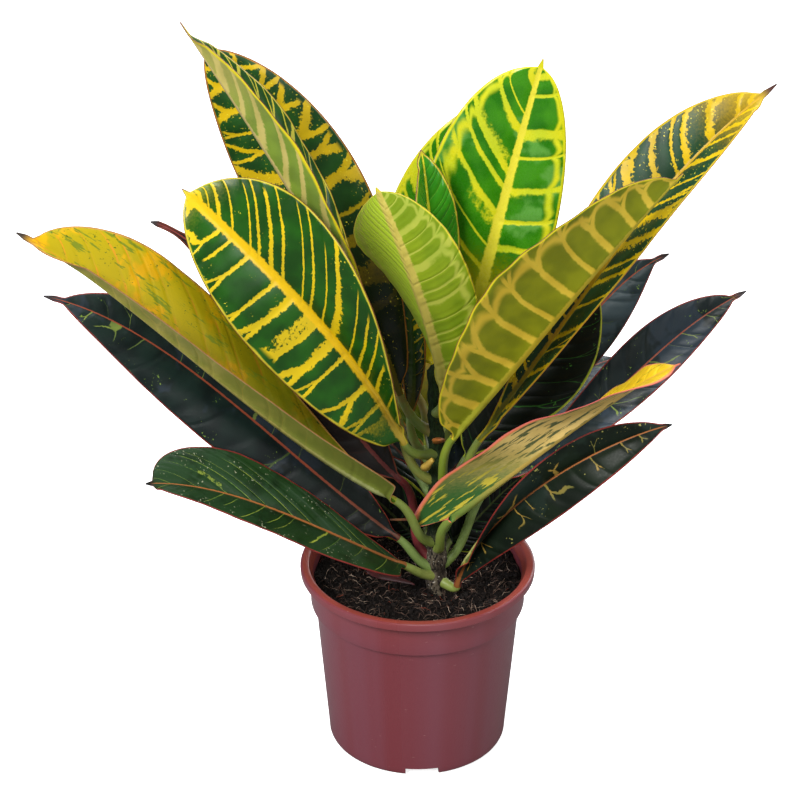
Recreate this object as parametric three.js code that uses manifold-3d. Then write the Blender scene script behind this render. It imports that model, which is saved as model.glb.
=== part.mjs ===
// Potted croton: a nursery pot, its soil, one woody stem and the leaves that stand on it.
// Millimetres, +Z up, the pot's axis on Z and the pot's base on z = 0; the front is -Y.
import * as THREE from 'three';
import { mergeVertices } from 'three/addons/utils/BufferGeometryUtils.js';
import Module from 'manifold-3d';

const wasm = await Module();
wasm.setup();

// Driving dimensions.
const rimRadius = 60;
const potHeight = 101;
const baseRadius = 46;
const wall = 1.4;
const gap = 0.3;
const potSides = 48;

// Pot: a lip, a straight band under it, and a tapered body that starts with a small step.
// Three channels cross the foot, and each has a drain hole above it.
const rimInner = rimRadius - 4.1;
const lipSkirt = 4;
const bandRadius = rimRadius - 5.2;
const bandFoot = 79.5;
const bodyTop = bandRadius - 2.5;
const floorThickness = 5;
const channelHeight = 3;
const channelWidth = 17;
const channelReach = 24;
const channelCount = 3;
const firstChannel = THREE.MathUtils.degToRad(-87);
const drainRadius = 4;
const drainCircle = 34;

// Soil and stem.
const soilTop = 87;
const stemFoot = 48;
const stemTop = 214;
const stemFootRadius = 5.8;
const stemTopRadius = 3.6;
const stemStart = [9.4, -5];

const soilLump = 0.6;
const stemSides = 14;
const scarHeight = 0.35;
const scarsPerRadian = 0.55;

// Leaf: the blade's thickness, the rib under it, and the petiole.
const bladeThickness = 0.9;
const ribAtBase = 1.7;
const ribAtTip = 0.2;
const petioleRadius = 2.4;
const petioleRise = 0.3;
const petioleReach = 0.4;
const leastHalfWidth = 1.3;
const leastNarrowing = 0.6;
const flatBelow = 1.5;
const openedOver = 5;
const sideOffset = 0.27;
const sliver = 0.02;
const petioleSteps = [0, 0.25, 0.5, 0.75];
const bladeSteps = [0, 0.03, 0.08, 0.15, 0.24, 0.34, 0.45, 0.56, 0.67, 0.77, 0.86, 0.93, 0.97, 1];
const acrossSteps = [-1, -0.5, 0, 0.5, 1];

const tones = {
  fresh: 0x3f7a1c,
  lime: 0x86a51f,
  olive: 0x767a10,
  dark: 0x2f5a2c,
  black: 0x16201a,
  slate: 0x2a3444,
  gold: 0xb09410,
  tan: 0xb59a4c,
  maroon: 0x4a2028,
};

// One entry per leaf. node: height on the stem where the petiole starts. path: blade base, the
// midrib at one third and two thirds, tip. face: azimuth and elevation that the upper side
// looks to. left and right: half width, fold at the base, fold at the tip (degrees up from
// flat), and peak, which moves the widest place towards the tip as it grows. blunt: a smaller
// value is a fuller outline. drip: the share of the blade that is a thin tip. sweep: how far
// the left and the right base lobe reach back. wave, waves, phase: the margin's waves.
const leaves = {
  front_left_broad: {
    tone: 'fresh', node: 165, path: [[-7, -20, 181], [-35, -42, 242], [-72, -52, 292], [-107, -48, 327]],
    face: [-90, 25], left: [32, 20, 10, 1], right: [36, 80, 0, 1.7], blunt: 0.6, curl: -10,
    wave: 0.05, waves: 2, phase: 0.1, sweep: [0.4, 0.3],
  },
  top_left_folded: {
    tone: 'lime', node: 150, path: [[-10, -10, 190], [-36, -38, 276], [-70, -34, 340], [-107, -20, 396]],
    face: [0, 30], left: [22, 60, 50, 1.7], right: [20, 60, 45, 1.8], curl: -10, wave: 0.03, waves: 4,
  },
  top_left_dark: {
    tone: 'dark', node: 176, path: [[-9, 2, 196], [-37, 10, 268], [-66, 14, 326], [-102, 10, 375]],
    face: [-90, 25], left: [28, 10, 10, 1.1], right: [26, 10, 10, 1], blunt: 0.6, wave: 0.05, waves: 3,
  },
  young_pale: {
    tone: 'lime', node: 188, path: [[12, -10, 204], [3, -22, 250], [-8, -26, 287], [-20, -20, 316]],
    face: [75, 10], left: [28, 0, 0, 1], right: [29, 60, 0, 1.6], blunt: 0.55, curl: 10, waves: 2,
  },
  young_small: {
    tone: 'fresh', node: 206, path: [[12, 0, 244], [7, 2, 270], [4, 5, 298], [1, 8, 323]],
    face: [-60, 10], left: [17, 45, 45, 1], right: [15, 15, 15, 1], blunt: 0.7,
  },
  top_broad: {
    tone: 'fresh', node: 198, path: [[20, 9, 204], [32, 16, 254], [45, 20, 310], [58, 22, 363]],
    face: [-90, 25], left: [38, 10, 10, 1.3], right: [28, 20, 10, 1], blunt: 0.5, wave: 0.05, waves: 2,
  },
  top_behind: {
    tone: 'fresh', node: 190, path: [[8, 14, 206], [3, 25, 244], [6, 32, 292], [32, 38, 338]],
    face: [-90, 25], left: [22, 10, 10, 0.7], right: [22, 10, 10, 1], wave: 0.06,
  },
  front_right_broad: {
    tone: 'olive', node: 145, path: [[17, -22, 185], [51, -36, 238], [85, -40, 287], [120, -30, 327]],
    face: [130, 20], left: [26, 50, 50, 1], right: [45, 25, 25, 1], blunt: 0.65, wave: 0.04, waves: 2,
  },
  upper_right_long: {
    tone: 'dark', node: 140, path: [[30, -12, 178], [75, -10, 249], [115, -6, 308], [166, 8, 356]],
    face: [-110, 30], left: [25, 15, 15, 1.7], right: [22, 65, 50, 1.2],
    blunt: 0.6, wave: 0.04, waves: 3, drip: 0.04,
  },
  right_black: {
    tone: 'black', node: 128, path: [[24, 2, 160], [45, 10, 186], [68, 16, 216], [89, 18, 248]],
    face: [-90, 30], left: [26, 10, 10, 1], right: [23, 10, 10, 1.3],
  },
  right_slate_upper: {
    tone: 'slate', node: 118, path: [[30, 18, 144], [61, 34, 182], [91, 44, 223], [125, 46, 252]],
    face: [-90, 30], left: [19, 10, 10, 1], right: [17, 10, 10, 1.4], drip: 0.06, wave: 0.05,
  },
  right_slate_long: {
    tone: 'slate', node: 100, path: [[41, 6, 145], [87, 18, 176], [123, 26, 210], [162, 28, 240]],
    face: [-90, 30], left: [15, 10, 10, 1.5], right: [14, 50, 10, 1.2], blunt: 0.6, drip: 0.05, wave: 0.05,
  },
  right_tan_folded: {
    tone: 'tan', node: 112, path: [[16, -26, 141], [53, -44, 184], [90, -52, 220], [122, -46, 238]],
    face: [100, 70], left: [20, 20, 20, 1.8], right: [20, 120, -20, 0.85],
    blunt: 0.6, sweep: [0.3, 4], wave: 0.06, waves: 4,
  },
  low_right: {
    tone: 'dark', node: 93, path: [[20, -14, 95], [40, -28, 142], [78, -40, 182], [121, -38, 201]],
    face: [-90, 40], left: [14, 95, 20, 1.2], right: [18, 20, 10, 1.1],
  },
  left_golden: {
    tone: 'gold', node: 115, path: [[-12, -24, 151], [-73, -55, 215], [-128, -75, 278], [-178, -78, 319]],
    face: [-90, 45], left: [16, 110, 110, 0.6], right: [31, 0, 0, 1.6],
    blunt: 0.6, wave: 0.04, waves: 4, drip: 0.05,
  },
  left_slate: {
    tone: 'slate', node: 100, path: [[-10, -12, 122], [-65, -26, 182], [-119, -34, 237], [-175, -36, 268]],
    face: [-90, 40], left: [23, 10, 10, 1], right: [23, 10, 10, 1.1], blunt: 0.7, drip: 0.05,
  },
  low_left: {
    tone: 'dark', node: 96, path: [[-7, -22, 112], [-50, -46, 149], [-90, -60, 175], [-128, -72, 188]],
    face: [-90, 50], left: [21, 40, 50, 0.9], right: [23, 0, 0, 2.1], blunt: 0.4,
  },
  left_maroon: {
    tone: 'maroon', node: 104, path: [[-9, -2, 150], [-43, -8, 198], [-85, -12, 260], [-126, -12, 295]],
    face: [-90, 30], left: [16, 10, 10, 0.8], right: [16, 10, 10, 0.8], blunt: 1.3, drip: 0.06,
  },
  centre_blotched: {
    tone: 'dark', node: 158, path: [[-4, 8, 180], [-3, 10, 206], [-4, 11, 234], [-7, 12, 262]],
    face: [-90, 10], left: [6, 10, 10, 1], right: [7, 10, 10, 1],
  },
  back_high: {
    tone: 'fresh', node: 174, path: [[18, 20, 196], [30, 44, 226], [42, 74, 242], [52, 104, 246]],
    face: [-100, 70], left: [26, 15, 5, 1], right: [26, 15, 5, 1], wave: 0.05,
  },
  back_high_left: {
    tone: 'dark', node: 166, path: [[-2, 16, 190], [-34, 36, 216], [-64, 58, 232], [-96, 78, 238]],
    face: [-60, 65], left: [25, 15, 5, 1], right: [25, 15, 5, 1], wave: 0.05,
  },
  back_high_right: {
    tone: 'dark', node: 150, path: [[16, 22, 170], [34, 58, 191], [58, 90, 203], [82, 114, 207]],
    face: [-120, 65], left: [25, 15, 5, 1], right: [25, 15, 5, 1], wave: 0.05,
  },
  back_mid: {
    tone: 'gold', node: 144, path: [[4, 18, 158], [0, 52, 180], [-4, 88, 188], [-10, 122, 184]],
    face: [-90, 75], left: [26, 20, 5, 1], right: [26, 20, 5, 1], wave: 0.06,
  },
  back_left: {
    tone: 'slate', node: 138, path: [[-4, 14, 150], [-36, 36, 170], [-70, 56, 178], [-102, 76, 176]],
    face: [-60, 70], left: [23, 20, 5, 1], right: [23, 20, 5, 1], wave: 0.05,
  },
  back_right: {
    tone: 'slate', node: 128, path: [[14, 20, 138], [46, 50, 156], [78, 76, 166], [108, 98, 168]],
    face: [-120, 70], left: [23, 20, 5, 1], right: [23, 20, 5, 1], wave: 0.05,
  },
  back_low_left: {
    tone: 'dark', node: 112, path: [[-2, 14, 122], [-34, 36, 134], [-60, 62, 138], [-84, 88, 132]],
    face: [-60, 75], left: [24, 20, 5, 1], right: [24, 20, 5, 1], wave: 0.05,
  },
  back_low_right: {
    tone: 'black', node: 108, path: [[20, 14, 118], [48, 40, 130], [74, 66, 134], [98, 90, 130]],
    face: [-120, 75], left: [24, 20, 5, 1], right: [24, 20, 5, 1], wave: 0.05,
  },
  back_low: {
    tone: 'dark', node: 118, path: [[4, 18, 128], [2, 50, 140], [2, 86, 144], [4, 122, 136]],
    face: [-90, 75], left: [25, 20, 5, 1], right: [25, 20, 5, 1], wave: 0.05,
  },
};

const leafDefaults = {
  curl: -15, blunt: 0.8, drip: 0.03, sweep: [0.1, 0.1], wave: 0.03, waves: 3, phase: 0,
};

function material(colour, roughness) {
  return new THREE.MeshStandardMaterial({ color: colour, roughness, metalness: 0 });
}

// A closed geometry to a manifold solid: only positions stay, with shared vertices merged.
function solid(geometry) {
  const bare = geometry.clone();
  bare.deleteAttribute('normal');
  bare.deleteAttribute('uv');
  const merged = mergeVertices(bare);
  const vertProperties = new Float32Array(merged.attributes.position.array);
  const triVerts = new Uint32Array(merged.index.array);
  return new wasm.Manifold(new wasm.Mesh({ numProp: 3, vertProperties, triVerts }));
}

function fromSolid(body) {
  const mesh = body.getMesh();
  const geometry = new THREE.BufferGeometry();
  geometry.setAttribute('position', new THREE.BufferAttribute(new Float32Array(mesh.vertProperties), 3));
  geometry.setIndex(new THREE.BufferAttribute(new Uint32Array(mesh.triVerts), 1));
  return geometry;
}

// A turned body about Z from a profile of [radius, height].
function turned(profile, sides) {
  const points = profile.map(([radius, height]) => new THREE.Vector2(radius, height));
  return new THREE.LatheGeometry(points, sides).rotateX(Math.PI / 2);
}

// A closed loft through rings with the same number of points, capped at both ends.
function loft(rings) {
  const count = rings[0].length;
  const points = rings.flat();
  const index = [];
  for (let ring = 0; ring + 1 < rings.length; ring += 1) {
    for (let i = 0; i < count; i += 1) {
      const a = ring * count + i;
      const b = ring * count + ((i + 1) % count);
      index.push(a, b, a + count, b, b + count, a + count);
    }
  }
  for (const ring of [0, rings.length - 1]) {
    const middle = new THREE.Vector3();
    rings[ring].forEach((point) => middle.addScaledVector(point, 1 / count));
    for (let i = 0; i < count; i += 1) {
      const a = ring * count + i;
      const b = ring * count + ((i + 1) % count);
      index.push(points.length, ...(ring === 0 ? [b, a] : [a, b]));
    }
    points.push(middle);
  }
  return new THREE.BufferGeometry().setFromPoints(points).setIndex(index);
}

// Pot: turned body, less the drainage channels under the base and a hole over each.
function potGeometry() {
  const lipFoot = potHeight - lipSkirt;
  const profile = [
    [0, 0],
    [baseRadius - 1.5, 0],
    [baseRadius, 1.5],
    [bodyTop, bandFoot - 0.7],
    [bandRadius - 0.4, bandFoot],
    [bandRadius, bandFoot + 0.8],
    [bandRadius + 0.3, potHeight - wall],
    [rimRadius - wall, potHeight - wall],
    [rimRadius - wall, lipFoot],
    [rimRadius - 0.2, lipFoot],
    [rimRadius, potHeight - 0.8],
    [rimRadius - 0.7, potHeight],
    [rimInner, potHeight],
    [rimInner - 1, potHeight - 1.2],
    [bandRadius - wall, lipFoot],
    [bandRadius - wall, bandFoot + 2],
    [bodyTop - wall, bandFoot],
    [baseRadius - wall, floorThickness + 1],
    [baseRadius - wall - 1, floorThickness],
    [0, floorThickness],
  ];
  let body = solid(turned(profile, potSides));
  const reach = baseRadius - channelReach + 4;
  for (let i = 0; i < channelCount; i += 1) {
    const angle = firstChannel + (i * 2 * Math.PI) / channelCount;
    const channel = new THREE.BoxGeometry(reach, channelWidth, 2 * channelHeight);
    channel.translate(channelReach + reach / 2, 0, 0).rotateZ(angle);
    const drain = new THREE.CylinderGeometry(drainRadius, drainRadius, 4 * floorThickness, 14);
    drain.rotateX(Math.PI / 2).translate(drainCircle, 0, 0).rotateZ(angle);
    body = body.subtract(solid(channel)).subtract(solid(drain));
  }
  return fromSolid(body);
}

// Soil: fills the pot a little under the rim; its top is lumpy by three crossed sine waves,
// and a round hole in it holds the stem.
function soilGeometry() {
  const inside = baseRadius - wall - gap;
  const profile = [
    [0, floorThickness + gap],
    [inside - 1.4, floorThickness + gap],
    [inside, floorThickness + 1.6],
    [bodyTop - wall - gap, bandFoot + 0.4],
    [bandRadius - wall - gap, bandFoot + 2.4],
    [bandRadius - wall - gap, soilTop],
    ...[47, 40, 32, 24, 16, 8, 0].map((radius) => [radius, soilTop + 0.5]),
  ];
  const geometry = turned(profile, potSides);
  const position = geometry.attributes.position;
  for (let i = 0; i < position.count; i += 1) {
    const x = position.getX(i);
    const y = position.getY(i);
    if (position.getZ(i) > soilTop + 0.2) {
      const lumps = Math.sin(0.31 * x + 0.5) + Math.sin(0.37 * y - 0.26 * x) + Math.sin(0.29 * y + 2);
      position.setZ(i, soilTop + 0.8 + soilLump * lumps);
    }
  }
  const depth = 2 * (soilTop - stemFoot);
  const hole = new THREE.CylinderGeometry(stemFootRadius + gap, stemFootRadius + gap, depth, 20);
  hole.rotateX(Math.PI / 2).translate(stemStart[0], stemStart[1], stemFoot - gap + depth / 2);
  return fromSolid(solid(geometry).subtract(solid(hole)));
}

// The stem's centre at a height: straight in the soil, then leaning a little with a slow bend.
function stemCentre(height) {
  const rise = Math.max(0, (height - soilTop - 4) / (stemTop - soilTop));
  const x = stemStart[0] - 3 * rise + 1.5 * Math.sin(2.4 * rise);
  return new THREE.Vector3(x, stemStart[1] + 5 * rise, height);
}

// Stem radius: an even taper with a low swelling at every leaf scar, and a rounded top.
function stemRadius(height) {
  const along = Math.max(0, (height - soilTop) / (stemTop - soilTop));
  const taper = stemFootRadius + (stemTopRadius - stemFootRadius) * along;
  const scars = along > 0 ? scarHeight * (Math.sin(scarsPerRadian * height) - 1) : 0;
  const round = Math.sqrt(THREE.MathUtils.clamp((stemTop - height) / 4, 0.1, 1));
  return (taper + scars) * round;
}

function stemGeometry(extra) {
  const heights = [stemFoot, soilTop - 2];
  for (let height = soilTop + 3; height < stemTop; height += 5) {
    heights.push(height);
  }
  heights.push(stemTop - 1.5, stemTop);
  const sideways = new THREE.Vector3(1, 0, 0);
  const up = new THREE.Vector3(0, 1, 0);
  return loft(heights.map((height) => (
    roundRing(stemCentre(height), sideways, up, stemRadius(height) + extra, stemSides, 1)
  )));
}

// A ring of points round a centre; turn is 1 or -1, the way it runs.
function roundRing(centre, sideways, up, radius, count, turn) {
  return Array.from({ length: count }, (_, i) => {
    const angle = (turn * 2 * Math.PI * (i + 0.5)) / count + (turn < 0 ? Math.PI : 0);
    return centre.clone()
      .addScaledVector(sideways, radius * Math.cos(angle))
      .addScaledVector(up, radius * Math.sin(angle));
  });
}

// The midrib: a cubic curve through the four path points, at u = 0, 1/3, 2/3 and 1.
function midrib(path) {
  const [start, third, twoThirds, tip] = path.map((point) => new THREE.Vector3(...point));
  const mix = (a, b, c, d) => new THREE.Vector3()
    .addScaledVector(start, a / 6).addScaledVector(third, b / 6)
    .addScaledVector(twoThirds, c / 6).addScaledVector(tip, d / 6);
  return new THREE.CubicBezierCurve3(start, mix(-5, 18, -9, 2), mix(2, -9, 18, -5), tip);
}

// The petiole: leaves the stem outwards and a little up, and runs into the midrib.
function petiole(leaf, rib) {
  const start = stemCentre(leaf.node);
  const end = rib.getPoint(0);
  const reach = petioleReach * start.distanceTo(end);
  const out = end.clone().sub(start).setZ(0).normalize();
  out.multiplyScalar(Math.cos(petioleRise)).setZ(Math.sin(petioleRise));
  const first = start.clone().addScaledVector(out, reach);
  const second = end.clone().addScaledVector(rib.getTangent(0), -reach);
  return new THREE.CubicBezierCurve3(start, first, second, end);
}

// Half width at u: a sine arch bent towards the tip by peak and filled out by blunt, with a
// thin tip beyond the arch.
function halfWidth(side, leaf, u) {
  const [wide, , , peak] = side;
  const along = Math.min(1, u / (1 - leaf.drip));
  const arch = Math.max(0, Math.sin(Math.PI * along ** peak)) ** leaf.blunt;
  return Math.max(wide * arch, leastHalfWidth * (1 - leastNarrowing * u));
}

function foldAt([, foldBase, foldTip], u) {
  return THREE.MathUtils.degToRad(foldBase + (foldTip - foldBase) * u);
}

// Where a blade point lies in its cross-section: each half is an arc that starts at its fold
// and bends by curl, plus the margin's wave, which grows with the square of the distance.
// Where the blade is narrow it is flat.
function sectionPoint(leaf, u, v) {
  const side = v < 0 ? leaf.left : leaf.right;
  const hand = Math.sign(v);
  const away = Math.abs(v);
  const width = halfWidth(side, leaf, u);
  const opened = THREE.MathUtils.clamp((width - flatBelow) / openedOver, 0, 1);
  const fold = foldAt(side, u) * opened;
  const bend = THREE.MathUtils.degToRad(leaf.curl) * opened || 1e-6;
  const end = fold + bend * away;
  const out = (Math.sin(end) - Math.sin(fold)) / bend;
  const up = (Math.cos(fold) - Math.cos(end)) / bend;
  const turns = leaf.waves * u + leaf.phase + sideOffset * hand;
  const ripple = leaf.wave * away ** 2 * Math.sin(2 * Math.PI * turns) * Math.sqrt(Math.sin(Math.PI * u));
  const back = leaf.sweep[v < 0 ? 0 : 1] * (1 - u) ** 3 * away * width;
  return { out: hand * width * out, up: width * (up + ripple), back, slope: hand * end };
}

// One leaf as a closed loft: round petiole rings, then blade rings with a rib underneath. Each
// blade ring runs over the upper side and back under it, half the thickness off the middle
// surface. On a folded blade the middle points lie further off, to keep it as thick there.
function leafGeometry(options) {
  const leaf = { ...leafDefaults, ...options };
  const rib = midrib(leaf.path);
  const stalk = petiole(leaf, rib);
  const [azimuth, elevation] = leaf.face.map(THREE.MathUtils.degToRad);
  const level = Math.cos(elevation);
  const face = new THREE.Vector3(level * Math.cos(azimuth), level * Math.sin(azimuth), Math.sin(elevation));
  const upright = (normal, along) => (
    normal.clone().addScaledVector(along, -normal.dot(along)).normalize()
  );
  const ringCount = 2 * acrossSteps.length;
  const blade = bladeSteps.map((u) => {
    const centre = rib.getPoint(u);
    const along = rib.getTangent(u);
    const normal = upright(face, along);
    const sideways = along.clone().cross(normal);
    if (u === 0) {
      return roundRing(centre, sideways, normal, petioleRadius * 0.8, ringCount, -1);
    }
    const meanFold = (foldAt(leaf.left, u) + foldAt(leaf.right, u)) / 2;
    const crease = 1 / Math.max(0.4, Math.cos(meanFold));
    const underRib = ribAtTip + ribAtBase * (1 - u) ** 1.5;
    const place = (v, above) => {
      const point = sectionPoint(leaf, u, v);
      const middle = bladeThickness / 2 * (above > 0 ? crease : 1) + (above > 0 ? 0 : underRib);
      const lift = above * (v === 0 ? middle : bladeThickness / 2);
      return centre.clone()
        .addScaledVector(sideways, point.out - Math.sin(point.slope) * lift)
        .addScaledVector(normal, point.up + Math.cos(point.slope) * lift)
        .addScaledVector(along, -point.back);
    };
    const top = acrossSteps.map((v) => place(v, 1));
    const under = acrossSteps.map((v) => place(v, -1));
    return [...top, ...under.reverse()];
  });
  let normal = upright(face, rib.getTangent(0));
  const stalkRings = [...petioleSteps].reverse().map((t) => {
    const along = stalk.getTangent(t);
    normal = upright(normal, along);
    const sideways = along.clone().cross(normal);
    return roundRing(stalk.getPoint(t), sideways, normal, petioleRadius, ringCount, -1);
  });
  return loft([...stalkRings.reverse(), ...blade]);
}

const plant = new THREE.Group();

function add(name, geometry, colour, roughness) {
  const mesh = new THREE.Mesh(geometry, material(colour, roughness));
  mesh.name = name;
  plant.add(mesh);
}

add('pot', potGeometry(), 0x7d4141, 0.4);
add('soil', soilGeometry(), 0x241c18, 0.95);
add('stem', stemGeometry(0), 0x5b4a3c, 0.85);

// Every leaf is cut clear of the stem by the gap; slivers left by the cut are merged.
const stemRoom = solid(stemGeometry(gap));
for (const [name, leaf] of Object.entries(leaves)) {
  const body = solid(leafGeometry(leaf)).subtract(stemRoom).simplify(sliver);
  add(`leaf_${name}`, fromSolid(body), tones[leaf.tone], 0.35);
}

export default plant;
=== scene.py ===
# A potted croton: glossy, boldly veined leaves on one woody stem, in soil, in a nursery pot.
# Lengths are metres in the part's frame: Z up, the pot's underside on z = 0, the front to -Y.
# The leaf, stem and pot tables are in millimetres and degrees, as such things are measured.
import math

import bpy
import numpy as np
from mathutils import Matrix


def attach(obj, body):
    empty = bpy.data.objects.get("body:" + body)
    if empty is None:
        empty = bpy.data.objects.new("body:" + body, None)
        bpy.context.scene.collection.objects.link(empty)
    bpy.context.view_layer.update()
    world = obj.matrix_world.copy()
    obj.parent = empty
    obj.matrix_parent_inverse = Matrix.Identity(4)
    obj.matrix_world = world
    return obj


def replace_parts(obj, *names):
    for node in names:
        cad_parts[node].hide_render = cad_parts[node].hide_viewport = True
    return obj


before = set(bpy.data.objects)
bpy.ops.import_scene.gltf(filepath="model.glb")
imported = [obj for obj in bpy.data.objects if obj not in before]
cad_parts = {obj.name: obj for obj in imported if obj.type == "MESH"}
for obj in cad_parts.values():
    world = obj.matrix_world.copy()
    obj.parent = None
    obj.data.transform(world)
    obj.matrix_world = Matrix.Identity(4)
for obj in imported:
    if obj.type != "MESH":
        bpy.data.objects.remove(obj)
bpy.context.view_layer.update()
mm = 0.001


# Camera: level across, looking down at the plant from the front.
view = dict(
    target=(-9, 0, 194),  # mm, the point in the middle of the view
    elevation=28,  # degrees above level
    distance=1200,  # mm
    lens=109.6,  # mm, on a 36 mm sensor
)


def addCamera():
    tilt = math.radians(view["elevation"])
    x, y, z = (c * mm for c in view["target"])
    away = view["distance"] * mm
    data = bpy.data.cameras.new("camera")
    data.lens = view["lens"]
    data.sensor_width = 36
    data.clip_end = 50
    camera = bpy.data.objects.new("camera", data)
    camera.location = (x, y - away * math.cos(tilt), z + away * math.sin(tilt))
    camera.rotation_euler = (math.pi / 2 - tilt, 0, 0)
    bpy.context.collection.objects.link(camera)
    bpy.context.scene.camera = camera


addCamera()
print("camera placed")


# Mesh helpers.
def meshPiece(name, points, faces, materials, slots=None, uvs=None):
    mesh = bpy.data.meshes.new(name)
    mesh.from_pydata((points * mm).tolist(), [], faces)
    for material in materials:
        mesh.materials.append(material)
    if slots is not None:
        mesh.polygons.foreach_set("material_index", np.asarray(slots, np.int32))
    for label, values in (uvs or {}).items():
        layer = mesh.uv_layers.new(name=label)
        layer.uv.foreach_set("vector", np.asarray(values, np.float32).ravel())
    mesh.polygons.foreach_set("use_smooth", np.ones(len(mesh.polygons), bool))
    mesh.update()
    piece = bpy.data.objects.new(name, mesh)
    bpy.context.collection.objects.link(piece)
    return piece


# Quads of a grid of rows whose columns close on themselves: the rows and columns of each
# quad's corners, in the order that faces outwards when columns run clockwise seen from the end.
def ringQuads(rows, columns):
    row, column = np.meshgrid(np.arange(rows - 1), np.arange(columns), indexing="ij")
    rowOf = np.stack([row, row, row + 1, row + 1], -1).reshape(-1, 4)
    columnOf = np.stack([column, column + 1, column + 1, column], -1).reshape(-1, 4) % columns
    return rowOf, columnOf


# A closed tube of rings: quads between the rings and one flat face over each end.
def tubeFaces(rows, columns):
    rowOf, columnOf = ringQuads(rows, columns)
    quads = (rowOf * columns + columnOf).tolist()
    first = list(range(columns))[::-1]
    last = list(range((rows - 1) * columns, rows * columns))
    return quads + [first, last]


def unit(vectors):
    return vectors / np.maximum(1e-12, np.linalg.norm(vectors, axis=-1, keepdims=True))


def smooth(values, low, high):  # 0 below low, 1 above high, a smooth step between them
    t = np.clip((values - low) / (high - low), 0, 1)
    return t * t * (3 - 2 * t)


def bezier(corners, t):  # points and directions of the cubic curve with four control points
    q0, q1, q2, q3 = corners
    t = t[:, None]
    k = 1 - t
    points = k**3 * q0 + 3 * k * k * t * q1 + 3 * k * t * t * q2 + t**3 * q3
    along = k * k * (q1 - q0) + 2 * k * t * (q2 - q1) + t * t * (q3 - q2)
    return points, unit(along)


# Node helpers. A value is a number, a screen colour such as "3f7a1c" or the socket that gives it;
# a socket knows its tree, so only a helper that starts a chain is told which tree it works in.
def colour(hexText):  # a screen colour as the linear one that nodes take
    parts = [int(hexText[i:i + 2], 16) / 255 for i in (0, 2, 4)]
    return tuple(c / 12.92 if c <= 0.04045 else ((c + 0.055) / 1.055) ** 2.4 for c in parts) + (1,)


def feed(socket, value):
    if isinstance(value, bpy.types.NodeSocket):
        socket.id_data.links.new(value, socket)
    elif value is not None:
        socket.default_value = colour(value) if isinstance(value, str) else value


def fedNode(kind, values, **settings):
    tree = next(value.id_data for value in values if isinstance(value, bpy.types.NodeSocket))
    node = tree.nodes.new(kind)
    for setting, value in settings.items():
        setattr(node, setting, value)
    for socket, value in zip(node.inputs, values):
        feed(socket, value)
    return node


def maths(operation, *values):
    return fedNode("ShaderNodeMath", values, operation=operation).outputs[0]


def add(a, b):
    return maths("ADD", a, b)


def sub(a, b):
    return maths("SUBTRACT", a, b)


def mul(a, b):
    return maths("MULTIPLY", a, b)


def mulAdd(a, b, c):  # a b + c
    return maths("MULTIPLY_ADD", a, b, c)


def ramp(value, low, high, start=0.0, end=1.0):  # smooth step from start to end
    values = (value, low, high, start, end)
    return fedNode("ShaderNodeMapRange", values, interpolation_type="SMOOTHSTEP").outputs["Result"]


def mixed(share, first, second):
    return fedNode("ShaderNodeMix", (share, *[None] * 5, first, second), data_type="RGBA").outputs[2]


def joined(x, y, z=0.0):
    return fedNode("ShaderNodeCombineXYZ", (x, y, z)).outputs[0]


def apart(vector):
    return fedNode("ShaderNodeSeparateXYZ", (vector,)).outputs


def noise(place, scale, detail=2.0, rough=0.5):
    node = fedNode("ShaderNodeTexNoise", (place,))
    for label, value in (("Scale", scale), ("Detail", detail), ("Roughness", rough)):
        feed(node.inputs[label], value)
    return node.outputs["Fac"]


def uvPair(tree, label):
    node = tree.nodes.new("ShaderNodeUVMap")
    node.uv_map = label
    return apart(node.outputs["UV"])[:2]


def objectPlace(tree, scale=(1, 1, 1)):
    place = tree.nodes.new("ShaderNodeTexCoord").outputs["Object"]
    node = fedNode("ShaderNodeMapping", (place,))
    node.inputs["Scale"].default_value = scale
    return node.outputs["Vector"]


def startMaterial(name, rough, specular=0.5, coat=0.0, coatRough=0.2):
    material = bpy.data.materials.new(name)
    material.use_nodes = True
    tree = material.node_tree
    shader = tree.nodes["Principled BSDF"]
    shader.inputs["Roughness"].default_value = rough
    shader.inputs["Specular IOR Level"].default_value = specular
    shader.inputs["Coat Weight"].default_value = coat
    shader.inputs["Coat Roughness"].default_value = coatRough
    return material, tree, shader


def dressed(material, shader, body, height, depth, strength):  # colour and relief put in
    feed(shader.inputs["Base Color"], body)
    node = shader.id_data.nodes.new("ShaderNodeBump")
    for label, value in (("Strength", strength), ("Distance", depth), ("Height", height)):
        feed(node.inputs[label], value)
    feed(shader.inputs["Normal"], node.outputs["Normal"])
    return material


# The vein pattern of a croton leaf. Three maps on the blade feed it: "share" is (share of the
# length, share of the half width), "blade" is (distance along, distance across) and "veins" is
# (vein count from the base, distance to the margin). A side vein lies wherever the count is
# whole; past its fork it splits in two branches, which run to the branches of its neighbours.
veinDefaults = {
    "Seed": 0.0, "Vein": 0.1, "Taper": 0.5, "Fork": 0.6, "Ragged": 0.5, "Reach": 1.0, "Rib": 0.002,
    "Margin": 0.0008, "Specks": -0.5, "Patch": -0.5, "Wander": 0.25, "Even": 0.5, "Spread": 0.7,
    "Soft": 0.015, "Missing": 0.0, "RibTaper": 0.75, "Arcade": 0.0, "Streaks": -0.5,
    "Right": 1.0, "RightFork": 0.0,  # how the right side differs
}
veinMasks = "Veins Rib Margin Edge Specks Patch Streaks Shade Fine Along Side Quilt".split()
# Scales of the pattern's noises, per metre.
grain = dict(
    coarse=70.0, fine=900.0, ragged=560.0, dots=820.0, dotPlaces=110.0, blotch=22.0, dashes=520.0)
arcadeAt = 0.72  # share of the half width where the arches between veins start


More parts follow.
